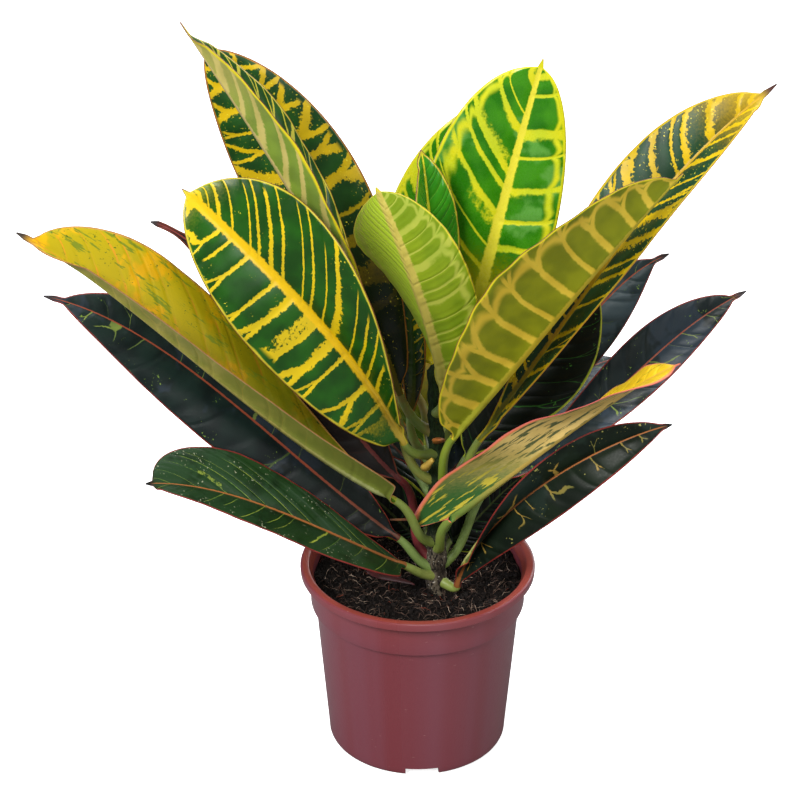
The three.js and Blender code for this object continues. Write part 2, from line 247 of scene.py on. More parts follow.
def makeVeinGroup():
    tree = bpy.data.node_groups.new("croton veins", "ShaderNodeTree")
    for label, value in veinDefaults.items():
        socket = tree.interface.new_socket(label, in_out="INPUT", socket_type="NodeSocketFloat")
        socket.default_value = value
    for label in veinMasks:
        tree.interface.new_socket(label, in_out="OUTPUT", socket_type="NodeSocketFloat")
    given = tree.nodes.new("NodeGroupInput").outputs
    result = tree.nodes.new("NodeGroupOutput").inputs

    along, share = uvPair(tree, "share")
    lengthwise, across = uvPair(tree, "blade")
    count, edge = uvPair(tree, "veins")
    depth = mulAdd(given["Seed"], 0.0731, 0.0137)  # off the noise's own grid
    place = joined(lengthwise, across, depth)
    coarse = noise(place, grain["coarse"])
    fine = noise(place, grain["fine"], 3.0, 0.6)
    ragged = noise(place, grain["ragged"], 3.0, 0.6)
    coarseOff = sub(coarse, 0.5)
    raggedOff = sub(ragged, 0.5)

    # which vein, how far from its line, and three draws of its own
    shifted = mulAdd(coarseOff, given["Wander"], count)
    number = maths("FLOOR", add(shifted, 0.5))
    offset = maths("ABSOLUTE", sub(shifted, number))
    draw = tree.nodes.new("ShaderNodeTexWhiteNoise")
    draw.noise_dimensions = "3D"
    feed(draw.inputs["Vector"], joined(number, maths("SIGN", across), given["Seed"]))
    forkDraw, widthDraw, endDraw = apart(draw.outputs["Color"])

    # the branches part past the fork
    right = maths("GREATER_THAN", across, 0.0)
    forkHere = mulAdd(right, given["RightFork"], given["Fork"])
    forkAt = mulAdd(sub(forkDraw, 0.5), 0.5, forkHere)
    past = maths("MAXIMUM", sub(share, forkAt), 0.0)
    branch = maths("ABSOLUTE", sub(offset, mul(past, given["Spread"])))

    # the vein's half width: its own draw, thinner towards the margin, with a ragged edge
    uneven = sub(1.0, given["Even"])
    own = mulAdd(sub(widthDraw, 0.5), uneven, 0.5)
    own = maths("MAXIMUM", sub(own, given["Missing"]), 0.0)
    thin = sub(2.0, mul(given["Taper"], mul(share, 2.0)))
    rag = mulAdd(raggedOff, mul(given["Ragged"], 3.0), 1.0)
    sideVein = mulAdd(right, sub(given["Right"], 1.0), 1.0)
    full = mul(mul(given["Vein"], sideVein), own)
    width = mul(full, mul(thin, rag))
    vein = ramp(branch, mul(width, 0.75), add(width, given["Soft"]), 1.0, 0.0)
    vein = mul(vein, ramp(width, 0.0, 0.012))
    end = mulAdd(endDraw, 0.3, sub(given["Reach"], 0.15))
    vein = mul(vein, ramp(share, end, add(end, 0.1), 1.0, 0.0))

    # arches from vein to vein, which bulge towards the margin between them
    between = sub(1.0, mul(offset, 2.0))
    bulge = sub(1.0, mul(between, between))
    arch = mulAdd(coarseOff, 0.2, mulAdd(bulge, 0.13, arcadeAt))
    away = maths("ABSOLUTE", sub(share, arch))
    archWidth = mul(given["Arcade"], mulAdd(raggedOff, 1.6, 1.0))
    archOuter = mulAdd(given["Soft"], 1.5, mul(archWidth, 1.1))
    arcade = ramp(away, mul(archWidth, 0.6), archOuter, 1.0, 0.0)
    arcade = mul(arcade, ramp(archWidth, 0.0, 0.01))
    feed(result["Veins"], maths("MAXIMUM", vein, arcade))

    # midrib, margin, specks and broad patches; the patches are the leaf's own tone on some looks and painted
    # sheen on others
    narrowing = sub(1.0, mul(along, given["RibTaper"]))
    ribWidth = mul(mul(given["Rib"], narrowing), mulAdd(raggedOff, 0.9, 1.0))
    aside = maths("ABSOLUTE", across)
    feed(result["Rib"], ramp(aside, mul(ribWidth, 0.75), mul(ribWidth, 1.15), 1.0, 0.0))
    margin = mul(given["Margin"], mulAdd(coarse, 1.4, 0.35))
    feed(result["Margin"], ramp(edge, mul(margin, 0.6), mul(margin, 1.25), 1.0, 0.0))
    feed(result["Edge"], ramp(edge, 0.0001, 0.0006, 1.0, 0.0))
    dots = ramp(noise(place, grain["dots"]), 0.64, 0.7)
    outwards = mulAdd(share, 0.16, given["Specks"])
    some = ramp(add(noise(place, grain["dotPlaces"], 1.0), outwards), 0.54, 0.62)
    feed(result["Specks"], mul(dots, some))
    blotch = noise(place, grain["blotch"], 4.0, 0.65)
    feed(result["Patch"], ramp(add(blotch, given["Patch"]), 0.48, 0.54))
    slanted = mulAdd(across, 0.25, mul(lengthwise, 0.16))
    drawn = joined(slanted, across, depth)
    dashes = add(noise(drawn, grain["dashes"], 3.0, 0.6), given["Streaks"])
    feed(result["Streaks"], ramp(dashes, 0.52, 0.57))
    for label, value in (("Shade", coarse), ("Fine", fine), ("Along", along), ("Side", right)):
        feed(result[label], value)
    feed(result["Quilt"], ramp(offset, 0.0, 0.3))
    return tree


veinGroup = makeVeinGroup()

# How a leaf's colours look on its upper and under side. A colour is a screen colour. tip and
# base tint the veins and the ground towards that end of the leaf, as far as their share says.
# A near-black base tint is painted shade on the leaf's foot; other base tints are the leaf's own.
# right tints the right half, painted light where the lime look uses it; the patch tone is a broad
# blotch, painted sheen on the slate, bright and flecked looks.
upperLook = dict(
    ground="2c5a1a", deep="1d4414", vein="d8c820", pale="c8b028", rib="e0c828", ribBase="b0a030",
    margin="d8c840", edge="7a4a28", speck="e8d838", patch="4a7a20",
    tip=None, tipFrom=0.75, tipShare=1.0, base=None, baseFrom=0.0, baseTo=0.2, baseShare=1.0, end=None,
    streak="50603a", streakBase="c8b040", right=None,
    rough=0.37, specular=0.36, coat=0.08, relief=0.0004,
)
underLook = dict(
    upperLook, ground="7c8030", deep="6a7028", vein="b0a048", pale="a89840", rib="b8ac58",
    ribBase="a8b070", margin="c8b848", edge="8a5a30", rough=0.5, coat=0.0, specular=0.35,
    relief=0.0006,
)


def leafMaterial(name, look, seed):
    material, tree, shader = startMaterial(name, look["rough"], look["specular"], look["coat"], 0.25)
    group = tree.nodes.new("ShaderNodeGroup")
    group.node_tree = veinGroup
    for label in veinDefaults:
        if label in look:
            group.inputs[label].default_value = look[label]
    group.inputs["Seed"].default_value = seed
    mask = group.outputs
    lively = ramp(mask["Shade"], 0.35, 0.65)
    ground = mixed(lively, look["deep"], look["ground"])
    # right tone: one half painted lighter; on the lime look's under side it is painted light on the half
    # that the lamps reach less
    if look["right"]:
        ground = mixed(mask["Side"], ground, look["right"])
    # patch tone: the leaf's own blotches on the gold look, painted sheen on the slate, bright and flecked
    # looks
    ground = mixed(mask["Patch"], ground, look["patch"])
    vein = mixed(lively, look["pale"], look["vein"])
    # base tint: the leaf's own colour on most looks; a near-black one is painted shade, darkening the leaf's
    # foot in the plant's shaded middle
    if look["base"]:
        near = mulAdd(mask["Fine"], 0.12, mask["Along"])
        near = ramp(near, look["baseFrom"] + 0.06, look["baseTo"] + 0.06, look["baseShare"], 0.0)
        ground = mixed(near, ground, look["base"])
        vein = mixed(near, vein, look["base"])
    if look["tip"]:
        far = mulAdd(mask["Fine"], 0.12, mask["Along"])
        far = ramp(far, look["tipFrom"], look["tipFrom"] + 0.22, 0.0, look["tipShare"])
        ground = mixed(far, ground, look["tip"])
    body = mixed(mask["Veins"], ground, vein)
    dash = ramp(mask["Along"], 0.2, 0.4)
    dash = mixed(dash, look["streakBase"], look["streak"])
    body = mixed(mask["Streaks"], body, dash)
    body = mixed(mask["Specks"], body, look["speck"])
    rib = mixed(ramp(mask["Along"], 0.0, 0.35), look["ribBase"], look["rib"])
    body = mixed(mask["Rib"], body, rib)
    body = mixed(mask["Margin"], body, look["margin"])
    body = mixed(mask["Edge"], body, look["edge"])
    if look["end"]:
        body = mixed(ramp(mask["Along"], 0.95, 0.985), body, look["end"])
    feed(shader.inputs["Roughness"], mulAdd(sub(mask["Fine"], 0.5), 0.25, look["rough"]))
    height = mulAdd(mask["Fine"], 0.12, mask["Quilt"])
    return dressed(material, shader, body, height, look["relief"], 0.5)


def stalkMaterial(name, tone, blush, seed):
    material, tree, shader = startMaterial(name, 0.42, 0.4, 0.1, 0.3)
    place = objectPlace(tree)
    broad = ramp(noise(place, 90.0 + seed, 2.0), 0.35, 0.65)
    fine = noise(place, 1500.0, 2.0)
    body = mixed(broad, tone, blush)
    body = mixed(ramp(fine, 0.62, 0.7, 0.0, 0.35), body, "6a5a38")
    return dressed(material, shader, body, fine, 0.0003, 0.4)


# Looks shared by several leaves: upper side, under side, and the stalk's two tones.
looks = dict(
    fresh=dict(
        slot="leaf_fresh",
        upper=dict(
            ground="1f5c0a", deep="144406", vein="ecca0c", pale="d8bc14", rib="f0c40c",
            ribBase="a89030", margin="d8c838", patch="3f7c20", Vein=0.19, Rib=0.003,
            Fork=0.62, Margin=0.0011, Specks=-0.03, Ragged=0.8, Reach=0.88),
        under=dict(ground="8a9a3c", deep="7a8a34", vein="c8c060", pale="b8b458", margin="d8cc30"),
        stalk=("7a903c", "6a7a38")),
    sage=dict(
        slot="leaf_lime",
        upper=dict(ground="2c5a1c", deep="1c4414", vein="d0c030", pale="b8b038", Vein=0.08),
        under=dict(
            ground="829c34", deep="728a2e", vein="d0c06c", pale="bcb05c", rib="ccb870",
            ribBase="a8b460", margin="ead81c", edge="d0b830", Vein=0.2, Taper=0.3, Rib=0.0028,
            Margin=0.002, Fork=1.3, Soft=0.06, patch="8a9c4c", Reach=0.95, Even=0.8,
            tip="bcac5c", tipFrom=0.74, tipShare=0.6, end="5c5040"),
        stalk=("7e9044", "8c8c44")),
    dark=dict(
        slot="leaf_dark",
        upper=dict(
            ground="20521c", deep="163e18", vein="e0bc10", pale="ccac14", rib="dcb41c",
            ribBase="605818", margin="b87828", patch="2c6428", Vein=0.18, Rib=0.0024,
            Ragged=0.9, Spread=0.8, Taper=0.25, Reach=0.92, Even=0.6, Specks=0.0,
            # base: painted shade, near black, darkening the leaf towards its foot in the plant's shaded
            # middle
            base="0a1c0c", baseFrom=0.1, baseTo=0.66),
        under=dict(ground="6a7430", deep="586428", vein="a89840", pale="989040", margin="b88838"),
        stalk=("7c9044", "8a783c")),
    lime=dict(
        slot="leaf_lime",
        upper=dict(ground="58881c", deep="467814", vein="d8cc38", pale="c4bc38", rib="dcd04c"),
        under=dict(
            ground="8ca418", deep="7a9612", vein="bcc44c", pale="a8b840", rib="ccbc58",
            # right: painted light, a lighter tone on the half of the under side that the lamps reach less
            ribBase="b4ac50", margin="dcd02c", edge="c4b438", right="b4d030", Vein=0.07, Taper=0.2,
            Fork=1.3, Rib=0.0042, RibTaper=0.6, Arcade=0.02, Soft=0.05, Ragged=0.3),
        stalk=("989848", "6c803c")),
    bright=dict(
        slot="leaf_fresh",
        upper=dict(
            ground="3f8e12", deep="267408", vein="e0dc24", pale="c8d428", rib="ece040",
            # patch: painted sheen, pale gloss patches on the blade
            ribBase="e4d01c", margin="dcd81c", edge="b8a428", patch="5a9c3c", Vein=0.115,
            Taper=0.35, Fork=1.3, Arcade=0.015, Soft=0.06, Rib=0.0042, Margin=0.0015,
             base="dcc814", baseFrom=0.24, baseTo=0.44, baseShare=0.85, Patch=-0.07,
            rough=0.28),
        under=dict(ground="94a83c", deep="84983a", vein="ccc860"),
        stalk=("b0b860", "98a850")),
    ochre=dict(
        slot="leaf_olive",
        upper=dict(ground="2c5a18", deep="1e4812", vein="d8b820", pale="c0a828", Vein=0.12),
        under=dict(
            ground="868c0a", deep="727a06", vein="dcc03c", pale="ccb030", rib="bcac30",
            ribBase="a8ac2c", margin="dccc20", edge="b8a030", Vein=0.11, Fork=0.66, Wander=0.15,
            Spread=0.8, Arcade=0.016, Ragged=0.4, Rib=0.003, Margin=0.0012, Even=0.9,
            Soft=0.06, relief=0.0008),
        stalk=("869630", "78902c")),
    streaked=dict(
        slot="leaf_dark",
        upper=dict(
            ground="20482a", deep="143820", vein="dcb80c", pale="c4a410", rib="c8a020",
            ribBase="687020", margin="c8b020", edge="b07c28", Vein=0.13, Ragged=1.2, Fork=0.8,
            Taper=0.15, Even=0.3, Rib=0.0022, Margin=0.001, tip="d4ac0c", tipFrom=0.84, tipShare=0.8,
            Specks=-0.02, end="4a2820", rough=0.42, specular=0.3, coat=0.0),
        under=dict(ground="8a8a2a", deep="767822", vein="b8a840", pale="a89c3c", margin="c0a040"),
        stalk=("849440", "788438")),
    black=dict(
        slot="leaf_black",
        upper=dict(
            ground="0a130d", deep="060c08", vein="2c6020", pale="20481a", rib="3a4420",
            ribBase="20281a", margin="8a9a28", edge="a8a030", Vein=0.04, Missing=0.38,
            Even=0.0, Rib=0.001, Margin=0.0009, patch="101c14", Specks=-0.1, speck="3c7028",
            rough=0.46, specular=0.2, coat=0.0),
        under=dict(ground="3c4828", deep="303c22", vein="505a34", margin="7a7a30"),
        stalk=("6a7840", "5a6438")),
    slate=dict(
        slot="leaf_slate",
        upper=dict(
            ground="162824", deep="0d1a1a", vein="7c8c3c", pale="4c6034", rib="984830",
            # patch: painted sheen, the blue-grey gloss between the veins of a dark leaf
            ribBase="583020", margin="8c382c", edge="8c3028", patch="26323c", Patch=-0.01,
            Vein=0.035, Missing=0.42, Even=0.0, Fork=0.45, Reach=0.6, Ragged=1.0, Rib=0.0008,
            Margin=0.0006, Specks=-0.14, speck="7c9c3c", rough=0.44, specular=0.35, coat=0.0,
            end="30282a"),
        under=dict(ground="46503c", deep="3a4434", vein="5c6444", margin="8a5038", edge="8a4038"),
        stalk=("7c9450", "647838")),
    tan=dict(
        slot="leaf_tan",
        upper=dict(
            ground="ecc41c", deep="dcb418", vein="f4d430", pale="e8c428", rib="e8b040", Vein=0.08,
            margin="f09060", edge="d0605c", streak="5c6c18", Streaks=-0.1, Margin=0.0016,
            base="3c5c20", baseTo=0.6, rough=0.42),
        under=dict(
            ground="e4c474", deep="d0b060", vein="98903c", pale="a89a44", rib="b89c48",
            ribBase="708c3c", margin="ec8458", edge="d8786a", Vein=0.0, Missing=0.6, Rib=0.0014,
            Margin=0.0013, Streaks=-0.02, base="34602c", baseFrom=0.16, baseTo=0.5,
            relief=0.0001, streak="586038", streakBase="c4b43c", tip="d8a848", tipFrom=0.8, tipShare=0.9,
            rough=0.45),
        stalk=("7a9040", "849440")),
    flecked=dict(
        slot="leaf_dark",
        upper=dict(
            ground="132012", deep="0c170e", vein="a8883c", pale="6c6c34", rib="a46434",
            ribBase="845028", margin="8c342c", edge="882c28", Vein=0.05, Missing=0.26,
            Ragged=1.2, Taper=0.3, Fork=0.25, Reach=0.5, Even=0.0, Rib=0.001,
            # patch: painted sheen, the grey-green gloss on a dark leaf
            Margin=0.0006, Specks=-0.14, speck="a8a458", patch="1c2a22", Patch=-0.02, rough=0.46,
            specular=0.22, coat=0.0, end="1a1a16"),
        under=dict(ground="6e7836", deep="5c682e", vein="848640", margin="b06040", edge="b04838"),
        stalk=("94a050", "809044")),
    gold=dict(
        slot="leaf_gold",
        upper=dict(
            ground="e0a804", deep="cc9c04", vein="d0901c", pale="b09c14", rib="c08c20",
            ribBase="889028", margin="b88840", edge="a07038", patch="b09c08", speck="3c5c14",
            Vein=0.03, Ragged=1.0, Taper=0.1, Fork=1.3, Even=0.0, Soft=0.05, Patch=-0.02,
            Rib=0.0009, Margin=0.0009, Specks=-0.08, base="3c580c", baseTo=0.75,
            Streaks=-0.06, streak="74801a", streakBase="1c3c0c", rough=0.5, specular=0.14, coat=0.0,
            end="3c342c"),
        under=dict(
            ground="a49c48", deep="90903c", vein="b0a850", Vein=0.04, margin="c8a078",
            edge="b88858", base="808c38", baseTo=0.6, rough=0.46, specular=0.25),
        stalk=("88984c", "809044")),
    maroon=dict(
        slot="leaf_maroon",
        upper=dict(
            ground="34201e", deep="24181a", vein="4a2a24", pale="3c2422", rib="8a3c38",
            ribBase="5c2828", margin="7a3430", Vein=0.03, Rib=0.0012, rough=0.45,
            # base: painted shade, near black, darkening the leaf towards its foot in the plant's shaded
            # middle
            base="0e0a0a", baseTo=0.6, end="2c2628"),
        under=dict(ground="4c3430", deep="3c2c28", vein="5c4038"),
        stalk=("7c2c30", "5c2024")),
)

# One leaf each: its look, the seed of its pattern, the height on the stem where its stalk starts
# and its path, which is blade base, midrib at one third and two thirds, tip. face: azimuth and
# elevation that the upper side looks to. left, right, or both: half width, fold at the base, fold
# at the tip (degrees up from flat), peak, which moves the widest place tipwards. blunt: smaller is
# fuller. drip: the share that is a thin tip. sweep: how far each base lobe reaches back. wave,
# waves, phase: the margin's waves. veins: side veins along each side, left then right, lean: their
# slant, hook: their bend near the margin. upper: how its upper side differs from its look.
leafDefaults = dict(
    curl=-15, blunt=0.8, drip=0.03, sweep=(0.1, 0.1), wave=0.03, waves=3, phase=0,
    veins=(14, 14), lean=(0.7, 0.7), hook=(0.25, 0.25), uneven=1.0, quilt=1.0, upper={})


def drawLeaf(look, seed, node, path, both=None, **rest):
    sides = dict(left=both, right=both) if both else {}
    return dict(leafDefaults, look=look, seed=seed, node=node, path=path, **sides, **rest)


leaves = {
    "front_left_broad": drawLeaf(
        "fresh", 1.3, 165, ((-7, -20, 181), (-35, -42, 242), (-72, -52, 292), (-107, -48, 327)),
        face=(-90, 25), left=(32, 20, 10, 1), right=(36, 80, 0, 1.7), curl=-10, blunt=0.6,
        sweep=(0.4, 0.3), wave=0.05, waves=2, phase=0.1,
        veins=(13, 20), lean=(0.15, 1.0), hook=(0.05, 0.1),
        upper=dict(
            Right=0.85, RightFork=0.8, RibTaper=0.2, Specks=-0.15, Even=0.55, tip="c8c420",
            tipFrom=0.92, tipShare=0.7, base="1c5008", baseFrom=0.06, baseTo=0.24)),
    "top_left_folded": drawLeaf(
        "sage", 2.1, 150, ((-10, -10, 190), (-36, -38, 276), (-70, -34, 340), (-107, -20, 396)),
        face=(0, 30), left=(22, 60, 50, 1.7), right=(20, 60, 45, 1.8), curl=-10, waves=4,
        veins=(12, 14), lean=(1.3, 1.6), uneven=0.5),
    "top_left_dark": drawLeaf(
        "dark", 3.7, 176, ((-9, 2, 196), (-37, 10, 268), (-66, 14, 326), (-102, 10, 375)),
        face=(-90, 25), left=(28, 10, 10, 1.1), right=(26, 10, 10, 1), blunt=0.6, wave=0.05,
        veins=(14, 13), lean=(0.3, 0.05), hook=(0.2, 0.1), uneven=0.5),
    "young_pale": drawLeaf(
        "lime", 4.4, 188, ((12, -10, 204), (3, -22, 250), (-8, -26, 287), (-20, -20, 316)),
        face=(75, 10), left=(28, 0, 0, 1), right=(29, 60, 0, 1.6), curl=10, blunt=0.55, waves=2,
        veins=(16, 22), lean=(0.25, 1.5)),
    "young_small": drawLeaf(
        "fresh", 5.2, 206, ((12, 0, 244), (7, 2, 270), (4, 5, 298), (1, 8, 323)),
        face=(-60, 10), left=(17, 45, 45, 1), right=(15, 15, 15, 1), blunt=0.7,
        veins=(16, 16), lean=(0.8, 0.8),
        upper=dict(
            ground="389018", deep="287c10", Vein=0.03, Rib=0.0018, Specks=-0.2, Missing=0.2, Fork=1.3,
            rough=0.2, coat=0.5, rib="e8e030", ribBase="d8d028", vein="70b030", pale="60a028")),
    "top_broad": drawLeaf(
        "bright", 6.6, 198, ((20, 9, 204), (32, 16, 254), (45, 20, 310), (58, 22, 363)),
        face=(-90, 25), left=(38, 10, 10, 1.3), right=(28, 20, 10, 1), blunt=0.5, wave=0.05, waves=2,
        veins=(12, 11), lean=(0.8, 0.2), hook=(0.2, 0.1)),
    "top_behind": drawLeaf(
        "bright", 7.9, 190, ((8, 14, 206), (3, 25, 244), (6, 32, 292), (32, 38, 338)),
        face=(-90, 25), left=(22, 10, 10, 0.7), right=(22, 10, 10, 1), wave=0.06,
        upper=dict(Vein=0.16, Ragged=0.9)),
    "front_right_broad": drawLeaf(
        "ochre", 8.5, 145, ((17, -22, 185), (51, -36, 238), (85, -40, 287), (120, -30, 327)),
        face=(130, 20), left=(26, 50, 50, 1), right=(45, 25, 25, 1), blunt=0.65, wave=0.04, waves=2,
        veins=(12, 12), lean=(0.4, 0.12), hook=(0.2, 0.22), uneven=0.3),
    "upper_right_long": drawLeaf(
        "streaked", 9.1, 140, ((30, -12, 178), (75, -10, 249), (115, -6, 308), (166, 8, 356)),
        face=(-110, 30), left=(25, 15, 15, 1.7), right=(22, 65, 50, 1.2), blunt=0.6, drip=0.04,
        wave=0.04, veins=(17, 17), lean=(0.6, 0.9)),
    "right_black": drawLeaf(
        "black", 10.2, 128, ((24, 2, 160), (45, 10, 186), (68, 16, 216), (89, 18, 248)),
        face=(-90, 30), left=(26, 10, 10, 1), right=(23, 10, 10, 1.3)),
    "right_slate_upper": drawLeaf(
        "slate", 11.4, 118, ((30, 18, 144), (61, 34, 182), (91, 44, 223), (125, 46, 252)),
        face=(-90, 30), left=(19, 10, 10, 1), right=(17, 10, 10, 1.4), drip=0.06, wave=0.05,
        # patch: painted sheen, the blue-grey gloss between the veins, as on the slate look
        upper=dict(ground="2a3a3e", deep="202e32", patch="3a484e", Missing=0.6)),
    "right_slate_long": drawLeaf(
        "slate", 12.8, 100, ((41, 6, 145), (87, 18, 176), (123, 26, 210), (162, 28, 240)),
        face=(-90, 30), left=(15, 10, 10, 1.5), right=(14, 50, 10, 1.2), blunt=0.6, drip=0.05,
        # patch: painted sheen, the blue-grey gloss between the veins, as on the slate look
        wave=0.05, upper=dict(ground="1c2829", deep="141e20", patch="2c3842", Missing=0.6)),
    "right_tan_folded": drawLeaf(
        "tan", 13.3, 112, ((16, -26, 141), (53, -44, 184), (90, -52, 220), (122, -46, 238)),
        face=(100, 70), left=(20, 20, 20, 1.8), right=(20, 120, -20, 0.85), blunt=0.6,
        sweep=(0.3, 4.8), wave=0.06, waves=4, veins=(16, 20), lean=(0.9, 2.2), quilt=0.2),
    "low_right": drawLeaf(
        "flecked", 14.6, 93, ((20, -14, 95), (40, -28, 142), (78, -40, 182), (121, -38, 201)),
        face=(-90, 40), left=(15, 130, 20, 1.2), right=(18, 20, 10, 1.1),
        veins=(10, 12), lean=(0.3, 0.3)),
    "left_golden": drawLeaf(
        "gold", 15.9, 115, ((-12, -24, 151), (-73, -55, 215), (-128, -75, 278), (-178, -78, 319)),
        face=(-90, 45), left=(16, 110, 110, 0.48), right=(31, 0, 0, 1.6), blunt=0.6, drip=0.05,
        wave=0.04, waves=4, veins=(18, 18), lean=(0.9, 1.1), quilt=0.4),
    "left_slate": drawLeaf(
        "slate", 16.2, 100, ((-10, -12, 122), (-65, -26, 182), (-119, -34, 237), (-175, -36, 268)),
        face=(-90, 40), left=(23, 10, 10, 1), right=(23, 10, 10, 1.1), blunt=0.7, drip=0.05,
        veins=(15, 15), lean=(0.4, 0.4), quilt=0.5,
        # base: painted shade, near black, darkening the leaf towards its foot in the plant's shaded middle
        upper=dict(base="060a09", baseTo=0.55, baseShare=0.9)),
    "low_left": drawLeaf(
        "flecked", 17.5, 96, ((-7, -22, 112), (-50, -46, 149), (-90, -60, 175), (-128, -72, 188)),
        face=(-90, 50), left=(21, 40, 50, 0.9), right=(23, 0, 0, 2.1), blunt=0.4,
        veins=(13, 13), lean=(0.8, 2.2), quilt=0.5,
        upper=dict(
            ground="1c3a16", deep="142a12", Vein=0.02, Missing=0.12, Fork=1.3, Specks=-0.09,
            # patch: painted sheen, the grey-green gloss on the leaf's upper half
            Reach=0.75, speck="a4a888", vein="a4b040", pale="648838", patch="223e20")),
    "left_maroon": drawLeaf(
        "maroon", 18.8, 104, ((-9, -2, 150), (-43, -8, 198), (-85, -12, 260), (-126, -12, 295)),
        face=(-90, 30), both=(16, 10, 10, 0.8), blunt=1.3, drip=0.06),
    "centre_blotched": drawLeaf(
        "dark", 19.1, 158, ((-4, 8, 180), (-3, 10, 206), (-4, 11, 234), (-7, 12, 262)),
        face=(-90, 10), left=(6, 10, 10, 1), right=(7, 10, 10, 1), veins=(9, 9),
        upper=dict(Vein=0.06, rib="34501c")),
    "back_high": drawLeaf(
        "bright", 20.4, 174, ((18, 20, 196), (30, 44, 226), (42, 74, 242), (52, 104, 246)),
        face=(-100, 70), both=(26, 15, 5, 1), wave=0.05),
    "back_high_left": drawLeaf(
        "dark", 21.7, 166, ((-2, 16, 190), (-34, 36, 216), (-64, 58, 232), (-96, 78, 238)),
        face=(-60, 65), both=(25, 15, 5, 1), wave=0.05),
    "back_high_right": drawLeaf(
        "streaked", 22.3, 150, ((16, 22, 170), (34, 58, 191), (58, 90, 203), (82, 114, 207)),
        face=(-120, 65), both=(25, 15, 5, 1), wave=0.05),
    "back_mid": drawLeaf(
        "gold", 23.6, 144, ((4, 18, 158), (0, 52, 180), (-4, 88, 188), (-10, 122, 184)),
        face=(-90, 75), both=(26, 20, 5, 1), wave=0.06),
    "back_left": drawLeaf(
        "slate", 24.9, 138, ((-4, 14, 150), (-36, 36, 170), (-70, 56, 178), (-102, 76, 176)),
        face=(-60, 70), both=(23, 20, 5, 1), wave=0.05),
    "back_right": drawLeaf(
        "slate", 25.2, 128, ((14, 20, 138), (46, 50, 156), (78, 76, 166), (108, 98, 168)),
        face=(-120, 70), both=(23, 20, 5, 1), wave=0.05),
    "back_low_left": drawLeaf(
        "flecked", 26.5, 112, ((-2, 14, 122), (-34, 36, 134), (-60, 62, 138), (-84, 88, 132)),
        face=(-60, 75), both=(24, 20, 5, 1), wave=0.05),
    "back_low_right": drawLeaf(
        "black", 27.8, 108, ((20, 14, 118), (48, 40, 130), (74, 66, 134), (98, 90, 130)),
        face=(-120, 75), both=(24, 20, 5, 1), wave=0.05),
    "back_low": drawLeaf(
        "flecked", 28.1, 118, ((4, 18, 128), (2, 50, 140), (2, 86, 144), (4, 122, 136)),
        face=(-90, 75), both=(25, 20, 5, 1), wave=0.05),
}

# Two small near-black leaves behind the stem's foot; their black look is painted shade that fills the shaded
# gap there.
hiddenLeaves = {
    "inner_left": drawLeaf(
        "black", 29.4, 104, ((-2, 4, 113), (-13, 6, 125), (-27, 7, 139), (-42, 7, 152)),
        face=(-90, 0), left=(13, 5, 5, 0.8), right=(20, 5, 5, 0.7), blunt=0.6),
    "inner_right": drawLeaf(
        "black", 30.7, 102, ((17, 2, 112), (28, 6, 120), (40, 10, 132), (54, 10, 146)),
        face=(-90, 0), left=(18, 5, 5, 0.7), right=(15, 5, 5, 0.7), blunt=0.6),
}

# How finely a blade is made, its thickness and its ridges, in mm.
blade = dict(
    rings=120, across=33, stalkRings=14,
    thickness=0.7, marginThickness=0.35,
    ridge=1.6, ridgeTip=0.25, ridgeWidth=1.9,  # the midrib's ridge underneath
    groove=0.35,  # the midrib's groove above
    quilt=0.35, quiltWidth=(4, 12),  # how far it bulges between side veins, from which half width
    flatWidth=1.5, foldWidth=5,  # half width up to which it stays flat, and how soon it folds fully
    stalkRadius=2.3, stalkFlare=0.9, flareLength=7, neckRadius=1.9, neckEnd=0.05,
    stalkRise=0.3, stalkReach=0.4,  # the stalk's slope at the stem, radians; how stiffly it bends
    underSeed=40,  # sets the under side's pattern apart from the upper side's
    leastHalfWidth=1.5, tipHalfWidth=0.35, tipSlope=40, ruffle=0.008, ruffles=11,
)
stem = dict(
    foot=48, soil=87, top=214, footRadius=5.8, topRadius=3.6, start=(9.4, -5),
)


# The stem's centre at each height: upright in the soil, then x falls 3 and swings by
# 1.5 sin(2.4 t), and y rises 5, as t goes from 0 a little over the soil to 1 at the top.
def stemCentre(height):
    t = np.maximum(0, (height - stem["soil"] - 4) / (stem["top"] - stem["soil"]))
    x = stem["start"][0] - 3 * t + 1.5 * np.sin(2.4 * t)
    return np.stack([x, stem["start"][1] + 5 * t, height + 0 * t], -1)


# Half width at u: wide sin(pi (u / (1 - drip))^peak)^blunt, joined by a cube norm to a thin
# strip, which widens from the very tip backwards.
def halfWidth(side, leaf, u):
    wide, peak = side[0], side[3]
    along = np.minimum(1, u / (1 - leaf["drip"]))
    arch = np.maximum(0, np.sin(np.pi * along**peak)) ** leaf["blunt"]
    strip = np.minimum(blade["leastHalfWidth"], blade["tipHalfWidth"] + blade["tipSlope"] * (1 - u))
    return ((wide * arch) ** 3 + strip**3) ** (1 / 3)


# The vein count at (u, s) on one side: count times the u where the vein left the midrib,
# u - (lean s + hook s^3) width (0.75 + 0.5 u) / length, with two slow sines for unevenness.
def veinCount(leaf, u, s, onRight, width, length):
    pick = lambda pair: np.where(onRight, pair[1], pair[0])
    wide = 0.8 * width + 0.2 * np.where(onRight, leaf["right"][0], leaf["left"][0])
    drift = (pick(leaf["lean"]) * s + pick(leaf["hook"]) * s**3) * wide * (0.75 + 0.5 * u) / length
    root = u - drift
    seed = leaf["seed"] + 3.1 * onRight
    uneven = 0.22 * np.sin(31 * root + seed) + 0.12 * np.sin(67 * root + 2.3 * seed)
    return pick(leaf["veins"]) * root + 0.5 * onRight + leaf["uneven"] * uneven


